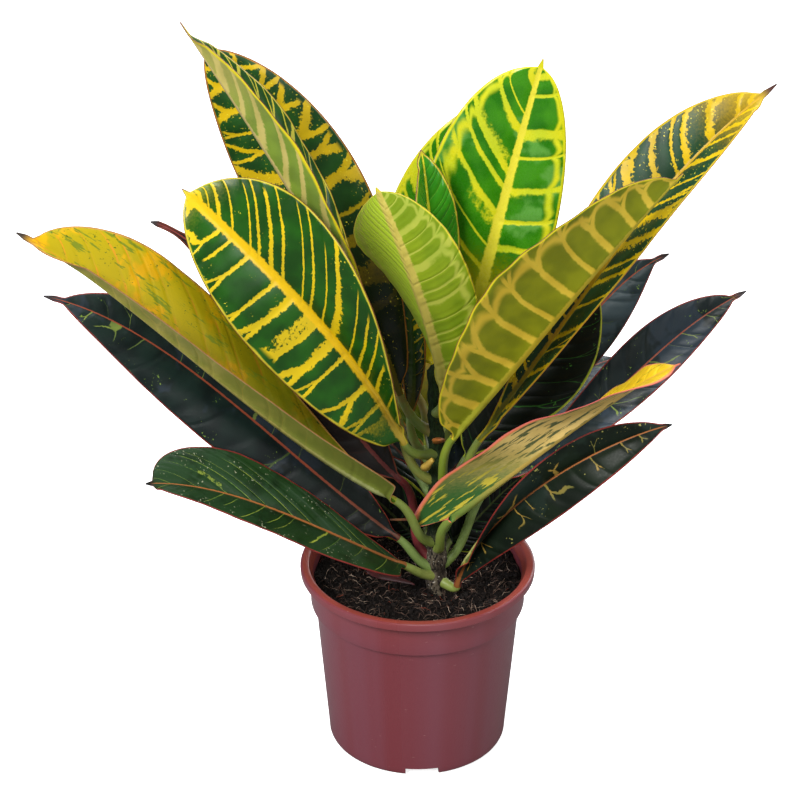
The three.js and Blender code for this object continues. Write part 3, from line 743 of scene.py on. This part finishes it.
# A leaf's blade as a function of u along and v across (-1 left margin, 1 right): the midrib
# point, plus an arc across that starts at the fold and bends by curl, plus the margin's waves,
# less the sweep of the base lobes. The two faces lie half a thickness off, along the normal,
# with the ridge under and the groove over the midrib, and both bulge between the veins.
def bladeFaces(leaf, u, v):
    p0, p1, p2, p3 = (np.array(point, float) for point in leaf["path"])
    first = (-5 * p0 + 18 * p1 - 9 * p2 + 2 * p3) / 6
    second = (2 * p0 - 9 * p1 + 18 * p2 - 5 * p3) / 6
    centre, along = bezier((p0, first, second, p3), u)
    azimuth, elevation = np.radians(leaf["face"])
    level = np.cos(elevation)
    face = np.array([level * np.cos(azimuth), level * np.sin(azimuth), np.sin(elevation)])
    normal = unit(face - (along @ face)[:, None] * along)
    sideways = np.cross(along, normal)
    length = np.linalg.norm(np.diff(centre, axis=0), axis=1).sum()

    rowU, s, onRight = u[:, None], np.abs(v)[None, :], (v > 0)[None, :]
    pick = lambda index: np.where(onRight, leaf["right"][index], leaf["left"][index])
    width = np.where(onRight, halfWidth(leaf["right"], leaf, rowU), halfWidth(leaf["left"], leaf, rowU))
    opened = np.clip((width - blade["flatWidth"]) / blade["foldWidth"], 0, 1)
    fold = np.radians(pick(1) + (pick(2) - pick(1)) * rowU) * opened
    bend = np.radians(leaf["curl"]) * opened
    bend = np.where(np.abs(bend) < 1e-5, 1e-5, bend)
    out = (np.sin(fold + bend * s) - np.sin(fold)) / bend
    up = (np.cos(fold) - np.cos(fold + bend * s)) / bend
    hand = np.sign(v)[None, :]
    arch = np.sqrt(np.maximum(0, np.sin(np.pi * rowU)))
    turn = 2 * np.pi * (leaf["waves"] * rowU + leaf["phase"] + 0.27 * hand)
    ripple = leaf["wave"] * s**2 * np.sin(turn) * arch
    turn = 2 * np.pi * (blade["ruffles"] * rowU + 0.3 * hand) + leaf["seed"]
    ruffle = blade["ruffle"] * s**4 * np.sin(turn) * arch
    back = np.where(onRight, leaf["sweep"][1], leaf["sweep"][0]) * (1 - rowU) ** 3 * s * width
    middle = (
        centre[:, None]
        + (hand * width * out)[..., None] * sideways[:, None]
        + (width * (up + ripple + ruffle))[..., None] * normal[:, None]
        - back[..., None] * along[:, None])
    facing = unit(np.cross(np.gradient(middle, axis=1), np.gradient(middle, axis=0)))

    across = hand * width * s
    count = veinCount(leaf, rowU, s, onRight, width, length)
    bulge = blade["quilt"] * (0.5 - 0.5 * np.cos(2 * np.pi * count))
    bulge = bulge * smooth(s, 0.05, 0.3) * smooth(-s, -1, -0.7)
    bulge = bulge * smooth(width, *blade["quiltWidth"]) * leaf["quilt"]
    rib = np.exp(-((across / blade["ridgeWidth"]) ** 2))
    ridge = (blade["ridgeTip"] + (blade["ridge"] - blade["ridgeTip"]) * (1 - rowU) ** 1.5) * rib
    thicker = (blade["thickness"] - blade["marginThickness"]) * smooth(-s, -1, -0.75)
    half = 0.5 * (blade["marginThickness"] + thicker)
    upper = middle + facing * (half + bulge - blade["groove"] * rib)[..., None]
    under = middle - facing * (half - bulge + ridge)[..., None]
    return dict(
        centre=centre, along=along, normal=normal, sideways=sideways, length=length,
        upper=upper, under=under)


# Round rings about a curve: centre + radius (cos a sideways + sin a normal), with a falling
# from pi, so the first half of the columns lies on the upper side from left to right.
def roundRings(centre, sideways, normal, radius, columns):
    a = np.pi - 2 * np.pi * (np.arange(columns) + 0.5) / columns
    spread = np.cos(a)[None, :, None] * sideways[:, None] + np.sin(a)[None, :, None] * normal[:, None]
    return centre[:, None] + radius[:, None, None] * spread


# One closed leaf: stalk rings, then blade rings that pass from round to flat over the neck.
def makeLeaf(name, leaf):
    u = np.linspace(0, 1, blade["rings"]) ** 1.1
    v = np.linspace(-1, 1, blade["across"])
    made = bladeFaces(leaf, u, v)
    columns = 2 * blade["across"]
    flat = np.concatenate([made["upper"], made["under"][:, ::-1]], axis=1)
    neck = roundRings(made["centre"], made["sideways"], made["normal"],
                      blade["neckRadius"] * (1 - 0.3 * smooth(u, 0, blade["neckEnd"])), columns)
    share = smooth(u, 0, blade["neckEnd"])[:, None, None]
    flat = neck * (1 - share) + flat * share

    # the stalk leaves the stem outwards and a little up, and runs into the midrib
    start = stemCentre(np.array(float(leaf["node"])))
    end = made["centre"][0]
    reach = blade["stalkReach"] * np.linalg.norm(end - start)
    rise = blade["stalkRise"]
    outwards = unit((end - start) * (1, 1, 0)) * math.cos(rise) + np.array([0, 0, math.sin(rise)])
    t = np.linspace(0.02, 1, blade["stalkRings"] + 1)[:-1]
    centre, along = bezier((start, start + outwards * reach, end - made["along"][0] * reach, end), t)
    normals = []
    normal = made["normal"][0]
    for direction in along[::-1]:
        normal = unit(normal - normal @ direction * direction)
        normals.append(normal)
    normals = np.array(normals[::-1])
    travelled = np.linalg.norm(centre - start, axis=1)
    radius = blade["stalkRadius"] + (blade["neckRadius"] - blade["stalkRadius"]) * smooth(t, 0.6, 1)
    radius = radius + blade["stalkFlare"] * np.exp(-((travelled / blade["flareLength"]) ** 2))
    stalk = roundRings(centre, np.cross(along, normals), normals, radius, columns)
    points = np.concatenate([stalk, flat]).reshape(-1, 3)
    rows = len(stalk) + len(flat)

    rowOf, columnOf = ringQuads(rows, columns)
    faces = tubeFaces(rows, columns)
    bladeRow = rowOf - len(stalk)
    below = columnOf >= blade["across"]
    vOf = np.where(below, v[(columns - 1 - columnOf) % blade["across"]], v[columnOf % blade["across"]])
    uOf = u[np.clip(bladeRow, 0, None)]
    s = np.abs(vOf)
    onRight = np.broadcast_to(vOf.mean(axis=1, keepdims=True) > 0, vOf.shape)
    width = np.where(onRight, halfWidth(leaf["right"], leaf, uOf), halfWidth(leaf["left"], leaf, uOf))
    count = veinCount(leaf, uOf, s, onRight, width, made["length"])
    edge = np.minimum((1 - s) * width, (1 - uOf) * made["length"] * 0.5)
    maps = {
        "share": np.stack([uOf, s], -1),
        "blade": np.stack([uOf * made["length"], vOf * width], -1) * mm,
        "veins": np.stack([count, edge * mm], -1),
    }
    caps = np.zeros((2 * columns, 2))
    maps = {label: np.concatenate([values.reshape(-1, 2), caps]) for label, values in maps.items()}
    slots = np.where(bladeRow.max(axis=1) <= 0, 2, np.where(below.all(axis=1), 1, 0))
    slots = np.concatenate([slots, [2, 1]])
    look = looks[leaf["look"]]
    materials = [
        leafMaterial(name + " upper", upperLook | look["upper"] | leaf["upper"], leaf["seed"]),
        leafMaterial(name + " under", underLook | look["under"], leaf["seed"] + blade["underSeed"]),
        stalkMaterial(name + " stalk", *look["stalk"], leaf["seed"]),
    ]
    piece = meshPiece(name, points, faces, materials, slots, maps)
    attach(piece, "root")
    return piece


for leafName, leaf in leaves.items():
    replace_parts(makeLeaf(leafName, leaf), "leaf_" + leafName)
for leafName, leaf in hiddenLeaves.items():
    makeLeaf(leafName, leaf)
print("leaves made:", len(leaves) + len(hiddenLeaves))


# Stem: rough grey bark with leaf scars, and a rounded top between the youngest stalks.
stemLook = dict(
    rings=260, around=72, scarHeight=0.35, scarsPerRadian=0.55, bark=0.45,
    wood="2e2620", pale="6e6454", dark="171210", fleck="c8c0b4", green="24381a", greenDark="16240f",
    greenFrom=0.118, greenTo=0.138,  # m, heights between which the bark turns green
)


# Radius at height h and angle a: an even taper, a swelling sin(0.55 h) at each scar, and bark
# of three crossed waves that wander round the stem; the top closes as a square root.
def stemSurface():
    h = np.linspace(stem["foot"], stem["top"], stemLook["rings"])
    a = -2 * np.pi * np.arange(stemLook["around"]) / stemLook["around"]
    rowH, columnA = h[:, None], a[None, :]
    t = np.maximum(0, (rowH - stem["soil"]) / (stem["top"] - stem["soil"]))
    radius = stem["footRadius"] + (stem["topRadius"] - stem["footRadius"]) * t
    radius = radius + stemLook["scarHeight"] * (np.sin(stemLook["scarsPerRadian"] * rowH) - 1) * (t > 0)
    wander = 0.8 * np.sin(0.13 * rowH) + 0.5 * np.sin(0.41 * rowH + 2)
    bark = np.sin(9 * columnA + wander) * 0.5 + np.sin(14 * columnA - 1.7 * wander + 0.3 * rowH) * 0.3
    bark = bark + 0.5 * np.sin(2.2 * rowH + 2 * np.sin(3 * columnA)) * np.sin(5 * columnA + 0.7 * rowH)
    radius = radius + stemLook["bark"] * bark * (t > 0) * 0.5
    radius = radius * np.sqrt(np.clip((stem["top"] - rowH) / 4, 0.02, 1))
    centre = stemCentre(h)
    ring = np.stack([radius * np.cos(columnA), radius * np.sin(columnA), 0 * radius], -1)
    return (centre[:, None] + ring).reshape(-1, 3)


def stemMaterial():
    material, tree, shader = startMaterial("bark", 0.85, 0.25)
    place = objectPlace(tree, (1, 1, 0.45))
    broad = noise(place, 160.0, 4.0, 0.6)
    fine = noise(place, 900.0, 4.0, 0.65)
    body = mixed(ramp(broad, 0.35, 0.65), stemLook["wood"], stemLook["pale"])
    body = mixed(ramp(fine, 0.42, 0.5, 1.0, 0.0), body, stemLook["dark"])
    flecks = ramp(noise(objectPlace(tree), 700.0, 2.0), 0.66, 0.7)
    body = mixed(flecks, body, stemLook["fleck"])
    young = mulAdd(broad, 0.02, apart(objectPlace(tree))[2])
    green = mixed(ramp(fine, 0.4, 0.6), stemLook["greenDark"], stemLook["green"])
    body = mixed(ramp(young, stemLook["greenFrom"], stemLook["greenTo"]), body, green)
    return dressed(material, shader, body, fine, 0.001, 0.7)


stemPiece = meshPiece(
    "stem_bark", stemSurface(), tubeFaces(stemLook["rings"], stemLook["around"]), [stemMaterial()])
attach(stemPiece, "root")
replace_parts(stemPiece, "stem")
print("stem made")


# Small growth on the stem: side buds and dry bracts, each a tapered tube on a bent path.
# path: points in mm. radii: at those points. flat: how much thinner than wide.
sprigs = {
    "bud_stub": dict(
        path=((3.5, -8, 160), (4, -15, 165), (7, -19, 171)), radii=(2.2, 2.6, 1.2), flat=0.8,
        tones=("d8b048", "b0903c"), slot="leaf_gold"),
    "bract_orange": dict(
        path=((9, -4, 172), (10, -12, 178), (10.5, -16, 180)), radii=(2, 3.4, 0.6), flat=0.4,
        tones=("c87838", "a05c2c"), slot="leaf_tan"),
    "twig_brown": dict(
        path=((4, -5, 129.5), (-5, -6.5, 129.5), (-14, -8.5, 130.5)), radii=(1, 0.8, 0.5), flat=0.7,
        tones=("7c5030", "5c3420"), slot="leaf_tan"),
    "tail_red": dict(
        path=((-25, -20, 108), (-19, -21, 105.5), (-9, -20, 102), (-1.6, -19, 98.6)),
        radii=(1.4, 2.2, 1.4, 0.3), flat=0.3, tones=("5c2028", "3c1a1e"), slot="leaf_maroon"),
}


# A sprig: round rings of the drawn radii carried along a smooth curve through its points.
def makeSprig(name, given, rings=28, columns=20):
    knots = np.array(given["path"], float)
    t = np.linspace(0, len(knots) - 1, rings)
    weights = np.polyfit(np.arange(len(knots)), knots, min(3, len(knots) - 1))
    centre = np.stack([np.polyval(weights[:, axis], t) for axis in range(3)], -1)
    along = unit(np.gradient(centre, axis=0))
    facing = np.array([0.1, -0.5, 0.9])  # roughly where a sprig's flat side looks
    normal = unit(facing - (along @ facing)[:, None] * along)
    sideways = np.cross(along, normal)
    radius = np.interp(t, np.arange(len(knots)), given["radii"])
    rim = roundRings(centre, sideways, normal * given["flat"], radius, columns)
    piece = meshPiece(name, rim.reshape(-1, 3), tubeFaces(rings, columns),
                      [stalkMaterial(name + " skin", *given["tones"], 30.0)])
    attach(piece, "root")
    return piece


for sprigName, given in sprigs.items():
    makeSprig(sprigName, given)
print("sprigs made:", len(sprigs))


# Pot: a turned nursery pot in satin brick-coloured plastic, with three drainage channels.
# profile: radius and height in mm, from the middle of the foot round to the inner floor.
pot = dict(
    sides=192, rim=60,
    profile=(
        (0, 0), (30, 0), (43.8, 0), (44.9, 0.2), (45.7, 0.8), (46.05, 1.6), (46.2, 4), (48, 26),
        (50.2, 53), (52.2, 77.6), (52.35, 78.7), (53.1, 79.1), (54.2, 79.4), (54.65, 79.7),
        (54.8, 80.4), (54.85, 84), (55.1, 99.2), (55.4, 99.6), (58.2, 99.6), (58.6, 99.3),
        (58.6, 97.3), (58.8, 97), (59.6, 97), (59.8, 97.2), (59.95, 99.8), (59.8, 100.5),
        (59.3, 100.9), (58.6, 101), (56.3, 101), (55.6, 100.8), (55, 100), (54.4, 98.7),
        (53.6, 97.2), (53.4, 96.6), (53.4, 82), (53.1, 81.1), (51.2, 79.8), (50.9, 79.2),
        (44.7, 6.6), (44.3, 5.4), (43.4, 5), (0, 5)),
    channels=(-87, 33, 153), channelReach=24, channelWidth=17, channelHeight=4.2,
    drain=4, drainCircle=34,
    body="7c363e", band="7e4450", rust="9a4438", scuff="c89a94", rough=0.3,
    rustFrom=0.0795, rustTo=0.1005,  # m, heights between which the rust tone comes in
    insideRadius=(0.0585, 0.0592), insideHeight=(0.0955, 0.0965),  # m, where the wall's inside shows
)


# A turned body: each profile point carried round the axis, poles kept as single points.
def turnedBody(profile, sides):
    profile = np.array(profile, float)
    a = 2 * np.pi * np.arange(sides) / sides
    rim = profile[1:-1]
    ring = np.stack([
        rim[:, :1] * np.cos(a), rim[:, :1] * np.sin(a), np.repeat(rim[:, 1:], sides, 1)], -1)
    points = np.concatenate([[[0, 0, profile[0, 1]]], ring.reshape(-1, 3), [[0, 0, profile[-1, 1]]]])
    rowOf, columnOf = ringQuads(len(rim), sides)
    quads = (rowOf * sides + columnOf + 1).tolist()
    i = np.arange(sides)
    j = (i + 1) % sides
    last = (len(rim) - 1) * sides + 1
    foot = np.stack([0 * i, j + 1, i + 1], -1).tolist()
    top = np.stack([last + i, last + j, 0 * i + len(points) - 1], -1).tolist()
    return points, quads + foot + top


def potMaterial():
    material, tree, shader = startMaterial("brick plastic", pot["rough"], 0.5, 0.25, 0.2)
    place = objectPlace(tree)
    x, y, z = apart(place)
    around = maths("ARCTAN2", y, x)
    turns = joined(maths("COSINE", around), maths("SINE", around))
    streaks = noise(turns, 2.2, 2.0, 0.5)
    body = mixed(ramp(streaks, 0.25, 0.75), pot["body"], pot["band"])
    radius = maths("SQRT", add(mul(x, x), mul(y, y)))
    upper = ramp(z, pot["rustFrom"], pot["rustTo"], 0.0, 0.2)
    within = ramp(radius, *pot["insideRadius"], 1.0, 0.0)
    inside = mul(within, ramp(z, *pot["insideHeight"]))
    rusty = maths("MAXIMUM", upper, mul(inside, 0.9))
    body = mixed(rusty, body, pot["rust"])
    marks = ramp(noise(objectPlace(tree, (1, 1, 6)), 130.0, 3.0, 0.6), 0.72, 0.76, 0.0, 0.5)
    body = mixed(marks, body, pot["scuff"])
    fine = noise(place, 700.0, 3.0, 0.6)
    feed(shader.inputs["Roughness"], mulAdd(sub(streaks, 0.5), 0.2, pot["rough"]))
    return dressed(material, shader, body, fine, 0.0002, 0.35)


def makePot():
    points, faces = turnedBody(pot["profile"], pot["sides"])
    piece = meshPiece("pot_turned", points, faces, [potMaterial()])
    reach = pot["rim"] - pot["channelReach"]
    cutters = []
    for number, degrees in enumerate(pot["channels"]):
        turn = math.radians(degrees)
        rows = np.array([[-1, -1], [1, -1], [1, 1], [-1, 1]], float)
        start, end = pot["channelReach"], pot["channelReach"] + reach
        box = np.array([
            (along, side * pot["channelWidth"] / 2, up * pot["channelHeight"])
            for along in (start, end) for side, up in rows])
        a = 2 * np.pi * np.arange(40) / 40
        hole = np.array([
            (pot["drainCircle"] + pot["drain"] * math.cos(angle), pot["drain"] * math.sin(angle), height)
            for height in (-2, 9) for angle in a])
        for part, corners, count in (("channel", box, 4), ("drain", hole, 40)):
            cosine, sine = math.cos(turn), math.sin(turn)
            spin = np.array([[cosine, sine, 0], [-sine, cosine, 0], [0, 0, 1]])
            cutter = meshPiece(f"{part} {number}", corners @ spin, tubeFaces(2, count), [])
            cutters.append(cutter)
    for cutter in cutters:
        cut = piece.modifiers.new("cut", "BOOLEAN")
        cut.object = cutter
        cut.operation = "DIFFERENCE"
        cut.solver = "EXACT"
    bpy.context.view_layer.update()
    graph = bpy.context.evaluated_depsgraph_get()
    mesh = bpy.data.meshes.new_from_object(piece.evaluated_get(graph))
    piece.modifiers.clear()
    piece.data = mesh
    for cutter in cutters:
        bpy.data.objects.remove(cutter)
    mesh.polygons.foreach_set("use_smooth", np.ones(len(mesh.polygons), bool))
    mesh.set_sharp_from_angle(angle=math.radians(35))
    return piece


potPiece = makePot()
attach(potPiece, "root")
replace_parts(potPiece, "pot")
print("pot made")


# Soil: dark peat with a lumpy top, loose crumbs and pale coir fibres.
soil = dict(
    radius=53.1, top=87, bottom=80, stemRadius=6.2, rings=110, around=220, lump=0.6, fine=0.9,
    crumbs=1500, crumbSize=(0.5, 2.2), fibres=620, fibreLength=(2, 10), fibreRadius=(0.1, 0.25),
    ground="120d0b", crumb="1f1713", dark="070505", fibre="604a40", paleFibre="b09a88",
    redFibre="8c4430", bank=5.5, seed=5,
)


# Height of the soil's top: the CAD's three long waves, plus shorter crossed ones, and a bank
# that rises against the wall at the sides and the back.
def soilHeight(x, y):
    long = np.sin(0.31 * x + 0.5) + np.sin(0.37 * y - 0.26 * x) + np.sin(0.29 * y + 2)
    short = np.sin(1.3 * x + 0.9 * y) + np.sin(1.1 * y - 1.6 * x + 1) + np.sin(2.3 * x + 2 * np.sin(0.8 * y))
    tiny = np.sin(4.1 * x + 1.2 * y) * np.sin(3.7 * y - 0.9 * x + 0.4)
    edge = smooth(np.hypot(x, y), 38, soil["radius"])
    bank = soil["bank"] * smooth(y, -35, 15) - 1.2
    return soil["top"] + 0.8 + soil["lump"] * long + soil["fine"] * (0.22 * short + 0.3 * tiny) + bank * edge


def soilSurface():
    a = 2 * np.pi * np.arange(soil["around"]) / soil["around"]
    share = np.linspace(0, 1, soil["rings"])[:, None]
    hole = np.array(stem["start"])[None, None]
    inner = hole + (soil["stemRadius"] - 0.6) * np.stack([np.cos(a), np.sin(a)], -1)[None]
    outer = soil["radius"] * np.stack([np.cos(a), np.sin(a)], -1)[None]
    flat = inner * (1 - share[..., None]) + outer * share[..., None]
    top = np.concatenate([flat, soilHeight(flat[..., 0], flat[..., 1])[..., None]], -1)
    under = top[[-1, 0]].copy()
    under[..., 2] = soil["bottom"]
    under[0, :, :2] *= 0.985
    rings = np.concatenate([top[::-1], under[::-1]])
    rings = np.concatenate([rings, rings[:1]])
    points = rings[:-1].reshape(-1, 3)
    rowOf, columnOf = ringQuads(len(rings), soil["around"])
    faces = ((rowOf % (len(rings) - 1)) * soil["around"] + columnOf)[:, ::-1].tolist()
    return points, faces


def soilMaterial():
    material, tree, shader = startMaterial("peat", 0.92, 0.2)
    place = objectPlace(tree)
    broad = noise(place, 220.0, 4.0, 0.7)
    fine = noise(place, 1300.0, 4.0, 0.7)
    body = mixed(ramp(broad, 0.35, 0.65), soil["ground"], soil["crumb"])
    body = mixed(ramp(fine, 0.38, 0.5, 1.0, 0.0), body, soil["dark"])
    body = mixed(ramp(fine, 0.68, 0.76), body, soil["fibre"])
    return dressed(material, shader, body, add(fine, broad), 0.002, 0.8)


def plainMaterial(name, first, second, rough, scale=400.0):
    material, tree, shader = startMaterial(name, rough, 0.3)
    place = objectPlace(tree)
    body = mixed(ramp(noise(place, scale, 3.0), 0.35, 0.65), first, second)
    return dressed(material, shader, body, noise(place, scale * 3, 3.0), 0.0004, 0.5)


# Places on the soil, in mm, clear of the wall and of a small disc about the pot's axis: even over the rest
# of the disc's area.
def scatter(draw, count, clear):
    radius = np.sqrt(draw.uniform(0.02, 1, count)) * (soil["radius"] - clear)
    angle = draw.uniform(0, 2 * np.pi, count)
    return np.stack([radius * np.cos(angle), radius * np.sin(angle)], -1)


# Crumbs: small bent boxes with uneven corners, half sunk in the soil.
def crumbMesh(draw):
    corners = np.array([(x, y, z) for x in (-1, 1) for y in (-1, 1) for z in (-1, 1)], float)
    sides = ((0, 1, 3, 2), (4, 6, 7, 5), (0, 4, 5, 1), (2, 3, 7, 6), (0, 2, 6, 4), (1, 5, 7, 3))
    count = soil["crumbs"]
    place = scatter(draw, count, 1.5)
    size = draw.uniform(*soil["crumbSize"], (count, 1, 1)) * draw.uniform(0.5, 1, (count, 1, 3))
    bent = (corners[None] + draw.uniform(-0.4, 0.4, (count, 8, 3))) * size * 0.5
    angle = draw.uniform(0, np.pi, count)[:, None]
    x = bent[..., 0] * np.cos(angle) - bent[..., 1] * np.sin(angle) + place[:, :1]
    y = bent[..., 0] * np.sin(angle) + bent[..., 1] * np.cos(angle) + place[:, 1:]
    z = bent[..., 2] + soilHeight(place[:, :1], place[:, 1:]) + 0.25 * size[:, 0, :1]
    points = np.stack([x, y, z], -1).reshape(-1, 3)
    faces = (np.array(sides)[None] + 8 * np.arange(count)[:, None, None]).reshape(-1, 4)
    return points, faces.tolist()


# Fibres: each a thin square tube along a gently curved line that lies on the soil, its height
# the soil's plus a low arch.
def fibreMesh(draw, count, lengths, radii, steps=9):
    place = scatter(draw, count, 3)
    length = draw.uniform(*lengths, (count, 1))
    heading = draw.uniform(0, 2 * np.pi, (count, 1))
    heading = heading + draw.uniform(-0.6, 0.6, (count, 1)) * np.linspace(0, 1, steps)
    step = length / (steps - 1)
    x = place[:, :1] + np.cumsum(np.cos(heading) * step, axis=1)
    y = place[:, 1:] + np.cumsum(np.sin(heading) * step, axis=1)
    reach = np.hypot(x, y)
    limit = soil["radius"] - 0.8
    squeeze = np.where(reach > limit, limit / reach, 1)
    x, y = x * squeeze, y * squeeze
    radius = draw.uniform(*radii, (count, 1)) * np.sin(np.pi * np.linspace(0.12, 0.88, steps))
    lift = draw.uniform(0, 1.4, (count, 1)) * np.sin(np.pi * np.linspace(0, 1, steps)) + 0.25
    centre = np.stack([x, y, soilHeight(x, y) + lift], -1)
    sideways = np.stack([-np.sin(heading), np.cos(heading), 0 * heading], -1)
    upwards = np.array([0, 0, 1.0])
    turn = np.pi / 4 + np.pi / 2 * np.arange(4)
    ring = np.cos(turn)[:, None] * sideways[:, :, None] + np.sin(turn)[:, None] * upwards
    ring = ring * radius[..., None, None]
    points = (centre[:, :, None] + ring).reshape(-1, 3)
    rowOf, columnOf = ringQuads(steps, 4)
    quads = (rowOf * 4 + columnOf)[None] + steps * 4 * np.arange(count)[:, None, None]
    ends = np.array([[3, 2, 1, 0], [steps * 4 - 4, steps * 4 - 3, steps * 4 - 2, steps * 4 - 1]])
    caps = ends[None] + steps * 4 * np.arange(count)[:, None, None]
    return points, np.concatenate([quads, caps], axis=1).reshape(-1, 4).tolist()


def addToSoil(name, made, material):
    piece = meshPiece(name, made[0], made[1], [material])
    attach(piece, "root")
    return piece


chance = np.random.default_rng(soil["seed"])
soilPiece = addToSoil("soil_top", soilSurface(), soilMaterial())
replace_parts(soilPiece, "soil")
crumbTone = plainMaterial("peat crumbs", soil["crumb"], soil["ground"], 0.95)
addToSoil("soil_crumbs", crumbMesh(chance), crumbTone)
fibreKinds = (
    ("soil_fibres", soil["fibres"], soil["fibre"], soil["crumb"]),
    ("soil_pale_fibres", soil["fibres"] // 3, soil["paleFibre"], soil["fibre"]),
    ("soil_red_fibres", soil["fibres"] // 12, soil["redFibre"], soil["crumb"]),
)
for fibreName, count, first, second in fibreKinds:
    made = fibreMesh(chance, count, soil["fibreLength"], soil["fibreRadius"])
    addToSoil(fibreName, made, plainMaterial(fibreName + " tone", first, second, 0.8, 200.0))
print("soil made")


# Studio: pale floor, a near-white world and soft lamps. The floor glows to the camera, a painted light that
# pales its cast shadow. place: m. size: m. power: W.
studio = dict(
    floor="ffffff", floorGlow=0.75, backdrop=1.0, ambient=0.3, mirrored=0.05, bounce="7a7a7a",
    lamps=(
        dict(name="key", place=(-1.4, -2.0, 2.2), size=1.5, power=95, tone=(1, 0.99, 0.96)),
        dict(name="top", place=(0.3, 0.7, 2.8), size=2.0, power=60, tone=(0.92, 0.96, 1)),
        dict(name="fill", place=(2.0, -1.5, 1.3), size=1.4, power=26, tone=(1, 1, 1)),
        dict(name="side", place=(-2.2, 0.4, 0.5), size=0.9, power=14, tone=(0.6, 0.68, 1)),
        dict(name="back", place=(1.0, 2.4, 1.4), size=1.6, power=24, tone=(1, 1, 1)),
    ),
)


def makeStudio():
    bpy.ops.mesh.primitive_plane_add(size=16, location=(0, 0, -0.0004))
    floor = bpy.context.object
    floor.name = "floor"
    material, tree, shader = startMaterial("paper", 0.9, 0.1)
    feed(shader.inputs["Base Color"], studio["floor"])
    # camera rays see the white floor with a glow, painted light over its cast shadow; other rays see a grey
    # floor, so it bounces less light
    path = tree.nodes.new("ShaderNodeLightPath")
    bounced = tree.nodes.new("ShaderNodeBsdfDiffuse")
    feed(bounced.inputs["Color"], studio["bounce"])
    feed(shader.inputs["Emission Color"], studio["floor"])
    feed(shader.inputs["Emission Strength"], studio["floorGlow"])
    shaders = (path.outputs["Is Camera Ray"], bounced.outputs[0], shader.outputs[0])
    choice = fedNode("ShaderNodeMixShader", shaders)
    feed(tree.nodes["Material Output"].inputs["Surface"], choice.outputs[0])
    floor.data.materials.append(material)
    world = bpy.data.worlds.new("studio")
    world.use_nodes = True
    tree = world.node_tree
    backdrop = tree.nodes["Background"]
    backdrop.inputs["Color"].default_value = (1, 1, 1, 1)
    path = tree.nodes.new("ShaderNodeLightPath")
    dimmer = studio["mirrored"] - studio["ambient"]
    unseen = mulAdd(path.outputs["Is Glossy Ray"], dimmer, studio["ambient"])
    strength = mulAdd(path.outputs["Is Camera Ray"], sub(studio["backdrop"], unseen), unseen)
    feed(backdrop.inputs["Strength"], strength)
    bpy.context.scene.world = world
    for given in studio["lamps"]:
        data = bpy.data.lights.new(given["name"], "AREA")
        data.shape = "DISK"
        data.size = given["size"]
        data.energy = given["power"]
        data.color = given["tone"]
        lamp = bpy.data.objects.new(given["name"], data)
        lamp.location = given["place"]
        aim = np.array((0, 0, 0.2)) - np.array(given["place"])
        turn = math.atan2(aim[1], aim[0]) - math.pi / 2
        tilt = math.atan2(np.hypot(aim[0], aim[1]), -aim[2])
        lamp.rotation_euler = (tilt, 0, turn)
        bpy.context.collection.objects.link(lamp)
    bpy.context.scene.view_settings.view_transform = "Standard"
    bpy.context.scene.view_settings.look = "None"


makeStudio()
print("studio lit")
